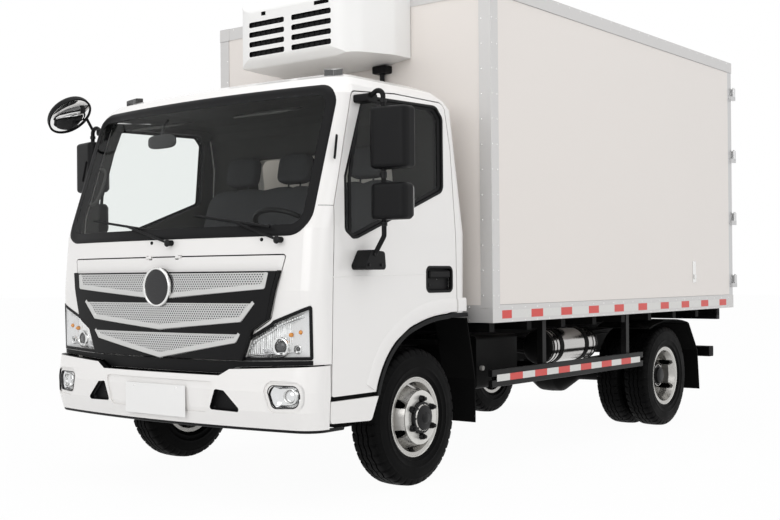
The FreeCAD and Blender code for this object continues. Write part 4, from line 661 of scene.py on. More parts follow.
def dress_cab():
    """Inner faces of the shell and doors in the lining; the windows' reveals and the handles' recesses in
    the seals' black."""
    lined = CAB_WALL - 6
    points = face_middles(NODES["cab_shell"])[0]
    deep = cab_depth(points)
    reveal = near_loop(points[:, [0, 2]], outline(SCREEN, 10)) & (points[:, 1] < -500) & (deep > 2)
    paint_faces(NODES["cab_shell"], ((LINING, deep > lined), (BLACK, reveal)))
    window, recess = outline(DOOR_WINDOW, 10), outline(HANDLE_RECESS, 10)
    for name in ("door_left", "door_right"):
        points, normals = face_middles(NODES[name])
        deep = cab_depth(points)
        on_window = near_loop(points[:, 1:], window) & (deep > 2) & (np.abs(normals[:, 0]) < 0.7)
        on_recess = near_loop(points[:, 1:], recess) & (deep > 2) & (deep < 24)
        paint_faces(NODES[name], ((LINING, deep > lined), (BLACK, on_window | on_recess)))


def dress_bumper():
    """The moulding's inner faces and its openings' deep walls in black."""
    obj = NODES["front_bumper"]
    points, normals = face_middles(obj)
    x, y, z = points.T
    front = level(BUMPER_LEVELS, FRONT, z) + BOW * x ** 2
    deep = (y - front > 12) & (np.abs(x) < 1014) & ((np.abs(x) < 930) | (normals[:, 0] * np.sign(x) < 0.2))
    paint_faces(obj, ((BLACK, deep),))


def dress_wheels():
    """Brake drums and hub barrels in black behind the silver discs."""
    for _, name in SIDES:
        for node, axle_y, inner in ((f"front_rim_{name}", 0, 985), (f"rear_rims_{name}", WHEELBASE, 702)):
            points = face_middles(NODES[node])[0]
            radius = np.hypot(points[:, 1] - axle_y, points[:, 2] - AXLE_Z)
            paint_faces(NODES[node], ((DARK, (radius < 160.5) & (np.abs(points[:, 0]) < inner)),))


def dress_unit():
    """Painted shade in the cooling unit's vents: their deepest faces in a black with no reflection, the
    faces in front of them in black plastic.
    """
    obj = NODES["cooling_unit"]
    x, y, z = face_middles(obj)[0].T
    up = z - UNIT_FOOT
    rows = ((up - VENT_FOOT) % VENT_PITCH < 34.5) & (up > 75) & (up < 300)
    columns = ((x > -331) & (x < -29)) | ((x > 29) & (x < 346))
    inside = rows & columns & (y > 66) & (y < 108)
    # The deepest vent faces take the painted shade; the shallower ones take black plastic.
    paint_faces(obj, ((VENT_SHADE, inside & (y > 100)), (BLACK, inside & (y <= 100))))


for name, obj in NODES.items():
    dress(name, obj)
dress_cab()
dress_bumper()
dress_wheels()
dress_unit()
NODES["side_guards"].data.materials[0] = GUARD
NODES["box_trims"].data.materials[0] = ALLOY
NODES["dashboard"].data.materials[0] = LINING


# Tyres and wheels

FRONT_TYRE_X = 910
REAR_TYRES_X = (900, 672)
# Of a front wheel and a rear pair: body, place along the truck, bolt face, hub cap, its bolts and outer tyre
WHEELS = (("front", "wheel_front", 0, 1024.2, 1052.3, 1045.3, FRONT_TYRE_X),
          ("rear", "wheels_rear", WHEELBASE, 796.2, 932.2, 927.2, REAR_TYRES_X[0]))
HUB_CAPS = {
    "front": [(-26, 0), (-26, 88), (-22, 90), (-8, 88), (-4, 72), (4, 68), (8, 54), (10, 34), (16, 30),
              (20, 24), (21, 0)],
    "rear": [(-60, 0), (-60, 86), (-8, 86), (-6, 64), (0, 62), (12, 60), (20, 48), (23, 24), (23, 0)],
}
# Half of a tyre's section: across, out, share of the zigzag and share of the block cuts
TYRE_HALF = np.array([
    (0.0, 380.5, 1, 0), (3.4, 380.5, 1, 0), (4.6, 387.9, 1, 0), (10, 388.0, 0.6, 0), (22, 387.8, 0.4, 0.45),
    (29, 387.5, 1, 0), (30.2, 379.5, 1, 0), (37, 379.5, 1, 0), (38.4, 387, 1, 0), (45, 386.6, 0.3, 0),
    (54, 386.0, 0, 0.6), (66, 384.6, 0, 1), (76, 380.6, 0, 1), (83, 373.5, 0, 1), (88, 364, 0, 0.9),
    (92.0, 352, 0, 0.35), (94.6, 346, 0, 0), (95.8, 344.6, 0, 0), (95.4, 341, 0, 0), (97.2, 330, 0, 0),
    (99.2, 314, 0, 0), (100.0, 297, 0, 0), (99.5, 284, 0, 0), (100.6, 282, 0, 0), (100.4, 279.5, 0, 0),
    (98.8, 278, 0, 0), (96.6, 262, 0, 0), (93.5, 250, 0, 0), (94.6, 247.6, 0, 0), (93.8, 244.5, 0, 0),
    (90.0, 242, 0, 0), (84.5, 231, 0, 0), (79.4, 224, 0, 0), (70.0, 209, 0, 0)])
# Steps round a tyre, steps of one zigzag and of one block, and the steps of a block that are cut
TYRE_STEPS, ZIGZAG_STEPS, BLOCK_STEPS, CUT_STEPS = 360, 12, 9, 2
ZIGZAG_WIDE, CUT_DEEP = 4.0, 8.0


def tyre(side, middle_x, middle_y):
    """A tyre about its axle: section lines (u across, r out, z share of the zigzag, b share of the cuts)
    carried round the axle as u + z * zigzag(angle) and r - b * cut(angle)."""
    section = np.concatenate([TYRE_HALF, TYRE_HALF[:0:-1] * (-1, 1, 1, 1)])
    k = np.arange(TYRE_STEPS)
    angle = 2 * np.pi * k / TYRE_STEPS
    quarter = ZIGZAG_STEPS / 4
    zigzag = ZIGZAG_WIDE * (np.abs((k % ZIGZAG_STEPS) / quarter - 2.0) - 1.0)
    cut = CUT_DEEP * (k % BLOCK_STEPS < CUT_STEPS)
    u = section[:, 0][:, None] + section[:, 2][:, None] * zigzag
    r = section[:, 1][:, None] - section[:, 3][:, None] * cut
    x = side * (middle_x + u)
    points = np.stack([x, middle_y + r * np.cos(angle), AXLE_Z + r * np.sin(angle)], -1)
    return points.reshape(-1, 3), grid_quads(len(section), TYRE_STEPS, close_rows=True, close_columns=True)


def tyres():
    """Front tyres and the twin tyres of the rear axle, in place of the plain solids."""
    for side, name in SIDES:
        single = tyre(side, FRONT_TYRE_X, 0)
        front = new_piece(f"front_tread_{name}", single, f"wheel_front_{name}", TYRE, sharp=40)
        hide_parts(f"front_tyre_{name}")
        pair = [tyre(side, x, WHEELBASE) for x in REAR_TYRES_X]
        twin = new_piece(f"rear_treads_{name}", pair, f"wheels_rear_{name}", TYRE, sharp=40)
        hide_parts(f"rear_tyres_{name}")


def wheel_fittings():
    """Nuts in their sleeves, flange rings, hub caps with bolts, rim lips and valves, about each axle."""
    nut = [(23, 0), (23, 12), (39, 12), (42, 10), (43, 6), (43, 0)]
    sleeve = [(-0.1, 12), (0, 19), (3, 19.5), (6, 18.5), (24, 17), (27, 15.5), (27, 13.4), (24, 12.6),
              (24, 0)]
    bolt = [(0, 0), (0, 6), (5, 6), (6, 4), (6, 0)]
    flange = [(0, 91), (0, 140), (1.5, 150), (4, 151), (5, 148), (4.6, 94), (3, 91)]
    lip = [(-9, 221.5), (-3, 224), (0, 225.5), (2.4, 223.5), (2.2, 219.5), (-1, 216.5), (-7, 214.5),
           (-14, 207)]

    def spots(middle, radius, degrees):
        """Places on a circle about the axle."""
        return [middle + (0, radius * math.cos(a), radius * math.sin(a)) for a in np.radians(degrees)]

    for side, name in SIDES:
        axis = (side, 0, 0)
        for label, wheel, axle_y, face_x, cap_x, bolt_x, tyre_x in WHEELS:
            body = f"{wheel}_{name}"
            place = np.array((0.0, axle_y, AXLE_Z))
            bolt_face = place + (side * face_x, 0, 0)
            around = spots(bolt_face, 106, 60 * np.arange(6) + 30)
            parts = [turned(nut, spot, axis, 6) for spot in around]
            parts += [turned(sleeve, spot, axis, 20) for spot in around]
            new_piece(f"{label}_nuts_{name}", parts, body, NUT)
            ring = turned(flange, bolt_face, axis, 96, close_rows=True)
            new_piece(f"{label}_flange_{name}", ring, body, FLANGE)
            parts = [turned(HUB_CAPS[label], place + (side * cap_x, 0, 0), axis, 72)]
            around = spots(place + (side * bolt_x, 0, 0), 75, 45 * np.arange(8))
            parts += [turned(bolt, spot, axis, 6) for spot in around]
            new_piece(f"{label}_hub_cap_{name}", parts, body, NUT)
            lip_x = tyre_x + 80
            ring = turned(lip, place + (side * lip_x, 0, 0), axis, 144, close_rows=True)
            new_piece(f"{label}_rim_lip_{name}", ring, body, FLANGE)
            stem = [(side * (lip_x + dx), 0, up) for dx, up in ((-24, 197), (-8, 192), (6, 186))]
            valve = tube(np.array(stem) + place, (5, 4, 3.6), 10)
            new_piece(f"{label}_valve_{name}", valve, body, SEAL)


tyres()
wheel_fittings()


# Glass, seals and the cab's face


def window_seals():
    """The windscreen's black band, the door windows' frames and bars, the pillar vents and the rear window's
    frame."""
    ring = [(-32, 0.3), (-30, 2.6), (-22, 4.2), (-8, 4.2), (-3, 2.2), (27, 1.4), (28, 0.3)]
    new_piece("windscreen_seal", band(outline(SCREEN, 40), ring, face), "cab", BLACK)
    loop = outline(DOOR_WINDOW, 40)
    frame_ring = [(-15, 0.25), (-14, 2.6), (-6, 3.6), (0.6, 2), (0.6, -3), (-2, -3), (-2, 0.25)]
    pane_ring = [(0.4, 0.3), (3, 9), (8, 4), (18, 1.2), (19, 0.3)]
    bar_path = along([(-604, 1412), (-590, 1700), (-470, 2110)], 60)
    slit = outline([(-737, 1786, 7), (-721, 1786, 7), (-694, 1916, 7), (-710, 1916, 7)], 8, 6)
    for side, name in SIDES:
        door = f"door_{name}"
        parts = [band(loop, frame_ring, flank(side)), band(loop, pane_ring, pane(side))]
        new_piece(f"door_window_seal_{name}", parts, door, BLACK)
        bar = strip(bar_path, [(-12, 0.3), (-11, 4), (11, 4), (12, 0.3)], pane(side))
        new_piece(f"quarter_bar_{name}", bar, door, BLACK)
        vent = cover(slit, [(1, 0.3), (1, 3.5), (0.8, 5.5), (0.5, 6), (0.02, 6)], flank(side))
        new_piece(f"pillar_vent_{name}", vent, "cab", BLACK, closed=False)

    def rear_wall(x, z, d=0.0):
        """Points on the cab's rear: x across it, z up, d out."""
        return np.stack([x, level(CAB_LEVELS, REAR, z) + d + 0 * x, z], -1)

    loop = outline([(-566, 1474, 62), (566, 1474, 62), (566, 1966, 62), (-566, 1966, 62)], 60)
    seal = band(loop, [(-10, 0.3), (-8, 5), (2, 5), (5.6, 0.3)], rear_wall)
    new_piece("rear_window_seal", seal, "cab", BLACK)


def front_lines():
    """The corner panels' seams, the black gap between face and bumper and the black edge below the lid."""
    seam = [(-1.4, 0.2), (-1, 0.7), (1, 0.7), (1.4, 0.2)]
    seams = [strip(along([(way * 990, 1546), (way * 1076, 1546)]), seam, face) for way in (1, -1)]
    new_piece("corner_panel_seams", seams, "cab", SEAL)
    s = np.linspace(-1000, 1000, 120)
    low = np.interp(np.abs(s), (0, 463, 532, 1000), (676, 676, 711, 734))
    high = np.interp(np.abs(s), (0, 558, 560, 1000), (741, 741, 742, 757))
    section = ((0, 0.3), (0, 1.4), (1, 1.4), (1, 0.3))
    rows = [face(s, low + (high - low) * share, out) for share, out in section]
    gap = np.concatenate(rows), grid_quads(len(rows), len(s), close_rows=True)
    new_piece("bumper_gap", gap, "cab", BLACK)
    half_edge = [(830, 1212), (765, 962), (662, 899), (596, 740)]
    path = along(half_edge + on_side(half_edge, -1)[::-1], 20)
    edge = strip(path, [(-7.6, 0.3), (-8, 24), (-10, 26.6), (-17, 26.6), (-17, 0.3)], face)
    new_piece("lid_edge", edge, "front_lid", BLACK)


def grille_bands():
    """Bright bands along the ends and lower edge of each grille row, and the ring round the plain disc."""
    bands, edges = [], []
    for top, top_half, low_outer, low_half, centre in GRILLE_ROWS:
        corners = [(-top_half + 2, top - 3), (-low_half + 2, low_outer + 8), (-low_half + 12, low_outer - 2),
                   (0, centre + 1.5), (low_half - 12, low_outer - 2), (low_half - 2, low_outer + 8),
                   (top_half - 2, top - 3)]
        section = [(0.5, 20.4), (0.5, 25), (4, 28.5), (22, 27.5), (30, 22.5), (30, 20.4)]
        bands.append(strip(along(corners, 22), section, face))
        edge = along([(-top_half + 3, top - 3.5), (top_half - 3, top - 3.5)], 22)
        edges.append(strip(edge, [(-4, 20.4), (-4, 25.5), (2, 25.5), (2, 20.4)], face))
    new_piece("grille_bands", bands + edges, "front_lid", SATIN, sharp=30)
    spot = (0, -1036.8, 1132)
    profile = [(-6, 108), (2, 109), (7, 107), (10, 103), (9, 98), (5, 95), (0.4, 94)]
    ring = turned(profile, spot, (0, -1, 0), 96, close_rows=True)
    new_piece("badge_ring", ring, "front_lid", BRIGHT)
    disc = turned([(0.3, 93.5), (2.2, 93), (3, 88), (3.8, 60), (4, 0)], spot, (0, -1, 0), 72)
    new_piece("badge_disc", disc, "front_lid", GLOSS, closed=False)


window_seals()
front_lines()
grille_bands()


# Lamps


def on_one_side(surface, side):
    """A front surface whose s counts outwards on the left (1) or the right (-1)."""
    def place(s, z, d=0.0):
        """The points at s outwards, z and d."""
        return surface(side * np.asarray(s, float), z, d)

    return place


def aim(place, s, z, d=0.0):
    """A point on a surface and the way out from it, for what is turned about that line."""
    middle = place(s, z, d)
    return middle, place(s, z, d + 10) - middle


def headlights():
    """Behind each lens a fluted bowl, a projector in its ring, a beaded bar, ribs and two amber bulbs, and
    the black surround over its edge. The bowl lies 6 sin(pi t) + 3 |sin(pi s / 13)| out from its floor."""
    low_line = ((565, 995), (752, 765))
    high_line = ((565, 640, 762, 780, 995), (790, 872, 936, 952, 1030))
    s = np.linspace(572, 990, 150)[None, :]
    t = np.linspace(0, 1, 34)[:, None]
    low = np.interp(s, *low_line) + 4
    high = np.interp(s, *high_line) - 4
    z = low + (high - low) * t
    flute = 3.0 * np.abs(np.sin(np.pi * s / 13)) * (t > 0.12) + 6 * np.sin(np.pi * t)
    rib_s = np.linspace(600, 985, 60)
    rib_reach = np.linspace(62, 118, 10)
    for side, name in SIDES:
        place = on_one_side(face, side)
        loop = outline(on_side(LAMP, side), 25)
        surround = band(loop, [(-7, 0.4), (-6, 3.4), (8, 3.4), (11, 0.4)], face)
        new_piece(f"headlight_surround_{name}", surround, "cab", BLACK)
        bowl = place(s + 0 * t, z, -42 + flute), grid_quads(34, 150)
        new_piece(f"headlight_bowl_{name}", bowl, "cab", REFLECTOR, closed=False, sharp=25)
        ribs = []
        for a in np.radians(np.linspace(196, 236, 6)):
            run = place(800 + rib_reach * math.cos(a), 822 + rib_reach * math.sin(a) * 0.55, -30)
            ribs.append(tube(run, 3.2, 8))
        for share in (0.16, 0.84):
            rib_z = np.interp(rib_s, *low_line) * (1 - share) + np.interp(rib_s, *high_line) * share
            ribs.append(tube(place(rib_s, rib_z, -24), 3.4, 8))
        new_piece(f"headlight_ribs_{name}", ribs, "cab", BOWL)
        beads = []
        for bead_s in np.linspace(604, 982, 26):
            where = aim(place, bead_s, np.interp(bead_s, *high_line) - 24, -26)
            beads.append(button((-2, 7.6), 7, 7.6, 5, *where, 14))
        new_piece(f"headlight_beads_{name}", beads, "cab", REFLECTOR, closed=False)
        for label, lens_s, lens_z, radius in (("projector", 802, 822, 34), ("position_lamp", 905, 812, 17)):
            where = aim(place, lens_s, lens_z, -36)
            profile = [(0, radius * 1.45), (12, radius * 1.5), (18, radius * 1.4), (20, radius * 1.2),
                       (16, radius * 1.05), (6, radius)]
            ring = turned(profile, *where, 48, close_rows=True)
            new_piece(f"{label}_ring_{name}", ring, "cab", BRIGHT)
            lens = button((2, radius), 16, radius * 0.92, 8, *where, 40, lift=2)
            new_piece(f"{label}_lens_{name}", lens, "cab", SMOKE, closed=False)
        for number, (bulb_s, bulb_z) in enumerate(((864, 884), (923, 898)), start=1):
            bulb = button((0, 12), 16, 12, 7, *aim(place, bulb_s, bulb_z, -32), 24, lift=4)
            new_piece(f"indicator_bulb_{number}_{name}", bulb, "cab", AMBER, closed=False)


def fog_lamps():
    """A thin black edge, a bright bowl and a round lens in its ring in each fog lamp."""
    edge_ring = [(-3, -9.7), (-3, -7.5), (1.5, -7.5), (4, -14), (5, -21.6), (1, -21.6), (1, -9.7)]
    for side, name in SIDES:
        loop = outline(on_side(FOG, side), 20)
        new_piece(f"fog_lamp_edge_{name}", band(loop, edge_ring, bumper_face), "cab", GLOSS)
        bowl = cover(loop, [(0.97, -23), (0.93, -26), (0.8, -38), (0.55, -46), (0.02, -48)], bumper_face)
        new_piece(f"fog_lamp_bowl_{name}", bowl, "cab", BOWL, closed=False)
        where = aim(on_one_side(bumper_face, side), 898, 574, -44)
        profile = [(0, 42), (10, 44), (17, 42), (18, 37), (10, 33), (2, 32)]
        ring = turned(profile, *where, 48, close_rows=True)
        new_piece(f"fog_lamp_ring_{name}", ring, "cab", BRIGHT)
        lens = button((0, 31), 14, 31, 8, *where, 40)
        new_piece(f"fog_lamp_lens_{name}", lens, "cab", BOWL, closed=False)


def bumper_fittings():
    """The blank plate on its feet, its screws, insets behind the intakes, the lower lip and the creases."""
    plate_y = -1059
    plate = slab((-240, plate_y, 435), (240, -1055.5, 605), 1.2)
    new_piece("blank_plate", plate, "cab", PLATE)
    feet = [turned([(0, 11), (14, 11)], (x, -1055.4, 520), (0, 1, 0), 16) for x in (-180, 180)]
    screws = [button((-0.2, 6), 2.4, 6, 5, (x, plate_y, 588), (0, -1, 0), 16) for x in (-170, 170)]
    new_piece("plate_screws", feet + screws, "cab", BRIGHT, closed=False)
    shares = [(1, -26), (0.9, -36), (0.5, -38), (0.02, -38)]
    loops = [outline(on_side(INTAKE, side), 20) for side, _ in SIDES]
    insets = [cover(inset(loop, 0.6), shares, bumper_face) for loop in loops]
    new_piece("intake_insets", insets, "cab", BLACK, closed=False)
    path = along([(-1240, 402), (1240, 402)], 24)
    lip = strip(path, [(1.6, -34), (1.6, -3), (-10, -5), (-14, -10), (-12, -34)], bumper_face)
    new_piece("bumper_lip", lip, "cab", BLACK)
    for side, name in SIDES:
        path = along([(side * 690, 640), (side * 800, 646), (side * 949, 650)], 20)
        crease = strip(path, [(-1.6, 0.1), (-0.8, 0.7), (0.8, 0.7), (1.6, 0.1)], bumper_face)
        new_piece(f"bumper_crease_{name}", crease, "cab", PAINT)


headlights()
fog_lamps()
bumper_fittings()


# Doors, mirrors and wipers


def door_fittings():
    """The handle in its recess, its frame and lock, and the crease that runs back from the pillar."""
    loop = outline(HANDLE_RECESS, 30)
    frame_ring = [(-12, 0.3), (-10, 2.6), (2, 2.6), (4, -4), (4, -10), (0.4, -10), (-1, 0.3)]
    path = along([(-770, 1178), (-300, 1186), (60, 1192)], 30)
    for side, name in SIDES:
        door, place = f"door_{name}", flank(side)
        parts = [band(loop, frame_ring, place),
                 cover(inset(loop, 2), [(1, -21.7), (0.9, -20.5), (0.02, -20.5)], place),
                 slab((side * 1011, 96, 1168), (side * 1034, 300, 1212), 7),
                 turned([(-0.2, 11), (3, 11), (4, 9), (4, 0)], (side * 1009.6, 118, 1128), (side, 0, 0), 24)]
        parts += [slab((side * 1009, y, 1172), (side * 1026, y + 22, 1208), 3) for y in (98, 276)]
        new_piece(f"door_handle_{name}", parts, door, BLACK)
        crease = strip(path, [(-3, 0.1), (-1.4, 1.3), (0, 1.5), (3.4, 0.1)], place)
        new_piece(f"door_crease_{name}", crease, door, PAINT)


def arch_flares():
    """The low swelling over each front arch, on the door and on the cab's corner behind it: a shallow
    section carried 14 to 94 mm outside the arch's edge."""
    corners = [(-411, 566), (-345, 690), (-272, 780), (-160, 850), (-37, 907), (109, 941), (262, 955),
               (366, 957)]
    arch = smooth_path(corners, 70)
    end = float(level(CAB_LEVELS, REAR, 1000)) - 8
    section = [(14, 0.25), (15, 3.2), (30, 4.6), (62, 5.2), (82, 4.2), (94, 0.25)]
    for side, name in SIDES:
        flare = strip(arch, section, flank(side))
        new_piece(f"arch_flare_{name}", flare, f"door_{name}", PAINT)
        flare = strip(along([(380, 957), (end, 957)]), section, flank(side))
        new_piece(f"corner_flare_{name}", flare, "cab", PAINT)


def mirror_glass():
    """Mirror glass in the rear faces of the heads and the face of the round front mirror, with its rim."""
    for side, name in SIDES:
        parts = []
        for low, high, near, far in ((1752, 2048, -436, -447), (1486, 1652, -446, -457)):
            def place(u, z, d=0.0):
                """Points on a head's rear face: u across it from the near edge, z up, d out."""
                t = np.asarray(u, float)
                x = 1124.0 + 194.0 * t / 200
                y = near + 7.0 + (far - near) * t / 200
                return np.stack([side * x, y + 3.2 + d, np.asarray(z, float) + 0 * t], -1)

            loop = outline([(4, low, 14), (196, low, 14), (196, high, 14), (4, high, 14)], 30)
            parts.append(cover(loop, [(1, -2), (0.99, 2), (0.98, 2.6), (0.02, 2.6)], place))
        new_piece(f"mirror_glass_{name}", parts, f"door_{name}", MIRROR, closed=False)
    facing = np.array((0.67, 0.04, -0.74))
    spot = (-1132, -735, 2205)
    round_glass = turned([(0.4, 134), (1.2, 133), (7, 90), (9, 45), (10, 0)], spot, facing, 72)
    new_piece("front_mirror_glass", round_glass, "door_right", MIRROR, closed=False)
    profile = [(-4, 146.4), (2, 147), (5, 144), (4, 138), (0.5, 134), (-1, 140)]
    rim = turned(profile, spot, facing, 96, close_rows=True)
    new_piece("front_mirror_rim", rim, "door_right", BLACK)


def mirror_clamps():
    """Clamps on the mirrors' tubes and the bolts of their lower feet."""
    clamp = [(-9, 13.2), (-8, 17.5), (8, 17.5), (9, 13.2)]
    bolt = [(-0.2, 9), (5, 9), (7, 7), (7, 0)]
    for side, name in SIDES:
        parts = [turned(clamp, (side * 1175, -520, z), (0, 0, 1), 24) for z in (1716, 1700, 1450, 2092)]
        parts += [turned(bolt, (side * 1126, y, z), (side, 0, 0), 6)
                  for y, z in ((-585, 1240), (-480, 1240), (-540, 1296))]
        new_piece(f"mirror_clamps_{name}", parts, f"door_{name}", NUT, closed=False)


def wiper_fittings():
    """Caps over the two wipers' pivots, and the washer jets beside them."""
    caps = [button((-2, 21), 9, 21, 7, (x, -991 + BOW * x ** 2 - 24, 1372), (0, -1, 0.09), 28)
            for x in (810, 60)]
    new_piece("wiper_caps", caps, "cab", NUT, closed=False)
    jets = [button((-1, 10), 8, 10, 6, *aim(face, s, 1376), 20) for s in (-104, 690)]
    new_piece("washer_jets", jets, "cab", BLACK, closed=False)


# Inside the cab


def cushion(centre, half, blunt=(0.42, 0.30), lean=0.0, pleats=0, rows=56, columns=96):
    """A padded block: a superellipsoid of half sizes a, b, c with powers for its section and its crown,
    x = a C(v)^q C(u)^p, y = b C(v)^q S(u)^p, z = c S(v)^q with signed powers, its face drawn in along seams
    across X, and leaned back by an angle."""
    section, crown = blunt
    v = np.linspace(-np.pi / 2, np.pi / 2, rows)[:, None]
    u = np.linspace(-np.pi, np.pi, columns, endpoint=False)[None, :]

    def power(value, exponent):
        """The power of a number's size, with the number's sign."""
        return np.sign(value) * np.abs(value) ** exponent

    a, b, c = half
    x = a * power(np.cos(v), crown) * power(np.cos(u), section)
    y = b * power(np.cos(v), crown) * power(np.sin(u), section)
    z = c * power(np.sin(v), crown) + 0 * u
    if pleats:
        seam = np.exp(-((np.abs((x / a * pleats + 0.5) % 1 - 0.5)) / 0.07) ** 2)
        y = y * (1 - 0.10 * seam * (np.abs(x) < 0.8 * a))
        z = z * (1 - 0.05 * seam * (np.abs(x) < 0.8 * a))
    turn_by = math.radians(lean)
    y, z = y * math.cos(turn_by) + z * math.sin(turn_by), z * math.cos(turn_by) - y * math.sin(turn_by)
    points = np.stack([x + centre[0], y + centre[1], z + centre[2]], -1)
    return points.reshape(-1, 3), grid_quads(rows, columns, close_columns=True)


def seat_set():
    """The padded seat and bench in place of the plain solids: bases, backs and head rests on posts."""
    parts = []
    for near, far, heads in ((180, 700, (440,)), (-880, 120, (-610, -150))):
        middle = (near + far) / 2
        half = (far - near) / 2
        seams = len(heads)
        parts.append(cushion((middle, -60, 1196), (half, 250, 74), (0.30, 0.34), pleats=seams))
        parts.append(cushion((middle, 214, 1500), (half, 72, 262), (0.36, 0.30), lean=17, pleats=seams))
        for x in heads:
            parts.append(cushion((x, 296, 1876), (132, 46, 96), (0.5, 0.44), lean=12))
            parts += [tube([(x + dx, 276, 1740), (x + dx, 288, 1800), (x + dx, 292, 1830)], 6, 10)
                      for dx in (-50, 50)]
    seat = new_piece("padded_seats", parts, "cab", CLOTH, sharp=60)
    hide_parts("seats")


def cab_inside():
    """The inner mirror on its stalk, sun visors and the handles on the pillars."""
    inner_mirror = [cushion((-330, -690, 1985), (118, 14, 42), (0.6, 0.6), rows=24, columns=48),
                    tube([(-330, -694, 2022), (-330, -680, 2060), (-330, -640, 2116)], 8, 12)]
    new_piece("inner_mirror", inner_mirror, "cab", GLOSS)
    visors = [cushion((x, -600, 2092), (210, 76, 10), (0.3, 0.6), lean=-14, rows=20, columns=48)
              for x in (430, -430)]
    new_piece("sun_visors", visors, "cab", LINING)
    posts = [(1000, 1640, -62), (960, 1648, -96), (948, 1700, -112), (946, 1800, -116), (956, 1852, -100),
             (1000, 1862, -62)]
    for side, name in SIDES:
        run = smooth_path([face(side * s, z, d) for s, z, d in posts], 40)
        new_piece(f"pillar_handle_{name}", tube(run, 12, 14), "cab", LINING)


# The box: outer faces of its corner sections, its side panels, its front sections and its rear doors

SECTION_X = 1130
PANEL_X = 1125
FRONT_SECTION_Y = 604
REAR_DOOR_Y = 4409
RAIL_TAPE_X, RAIL_TAPE_Z, RAIL_TAPE_PITCH = 1130.2, (920, 970), 381.0
GUARD_TAPE_X, GUARD_TAPE_Z, GUARD_TAPE_PITCH = 1050.2, (532, 574), 153.6
RIVET_PITCH = 151.0


def marking_tape():
    """Red and white tape blocks in turn, along the box's lower sections and along the guard rails."""
    rows = {"rail_tape_red": [], "rail_tape_white": [], "guard_tape_red": [], "guard_tape_white": []}

    def block(label, side, x, y, z):
        """One block, 0.9 mm thick, from its inner face's distance out and its lower and upper y and z."""
        rows[label].append(slab((side * x, y[0], z[0]), (side * (x + 0.9), y[1], z[1]), 0.3))

    for side, _ in SIDES:
        for i in range(10):
            middle = 747 + RAIL_TAPE_PITCH * i
            block("rail_tape_red", side, RAIL_TAPE_X, (middle - 72.5, middle + 72.5), RAIL_TAPE_Z)
            if i < 9:
                between = (middle + 73.5, middle + RAIL_TAPE_PITCH - 73.5)
                block("rail_tape_white", side, RAIL_TAPE_X, between, RAIL_TAPE_Z)
        for i in range(13):
            start = 773 + GUARD_TAPE_PITCH * i
            label = "guard_tape_red" if i % 2 else "guard_tape_white"
            block(label, side, GUARD_TAPE_X, (start, start + 152.6), GUARD_TAPE_Z)
    for label, blocks in rows.items():
        material = TAPE_RED if label.endswith("red") else TAPE_WHITE
        new_piece(label, blocks, "chassis", material)


def rivets():
    """Round heads along the box's corner sections: domes on a straight pitch."""
    spots = []
    along_y = np.arange(680, 4330, RIVET_PITCH)
    up_z = np.arange(1060, 2880, RIVET_PITCH)
    for side, _ in SIDES:
        for z in (905, 985, 2940):
            spots += [((side * SECTION_X, y, z), (side, 0, 0)) for y in along_y]
        spots += [((side * SECTION_X, y, z), (side, 0, 0)) for z in up_z for y in (618, 672)]
        spots += [((side * 1062, FRONT_SECTION_Y, z), (0, -1, 0)) for z in up_z]
    along_x = np.arange(-1000, 1001, RIVET_PITCH)
    spots += [((x, FRONT_SECTION_Y, z), (0, -1, 0)) for x in along_x for z in (910, 990, 2938)]
    profile = dome(2.2, 5.2, 4)
    heads = [turned(profile, spot, axis, 10) for spot, axis in spots]
    new_piece("rivets", heads, "chassis", BRIGHT, closed=False)


def box_seams():
    """Sealant lines where panels meet the sections, the corner caps and the small plate on each side."""
    seams, caps, plates = [], [], []
    runs = ((682, 1003.2, 4331, 1006.2), (682, 2866, 4331, 2869), (687.2, 1006, 690.2, 2866))
    for side, _ in SIDES:
        near, far = side * (PANEL_X + 0.1), side * (PANEL_X + 1.6)
        for y0, z0, y1, z1 in runs:
            seams.append(slab((near, y0, z0), (far, y1, z1), 0.6))
        for z in (897, 2866):
            caps.append(slab((side * 1130.1, 603, z), (side * 1132.6, 706, z + 86), 1.2))
            caps.append(slab((side * 1132.4, 601.4, z), (side * 1040, 603.9, z + 86), 1.2))
        plates.append(slab((near, 3572, 1112), (side * (PANEL_X + 3.6), 3632, 1282), 1.5))
        plates.append(slab((side * (PANEL_X + 3.4), 3586, 1140), (side * 1140, 3618, 1176), 4))
        plates += [turned(dome(2.6, 5, 4), (side * (PANEL_X + 3.5), 3602, z), (side, 0, 0), 12)
                   for z in (1124, 1268)]
    new_piece("panel_sealant", seams, "chassis", SEALANT)
    new_piece("corner_plates", caps, "chassis", ALLOY)
    new_piece("side_plates", plates, "chassis", BRIGHT)


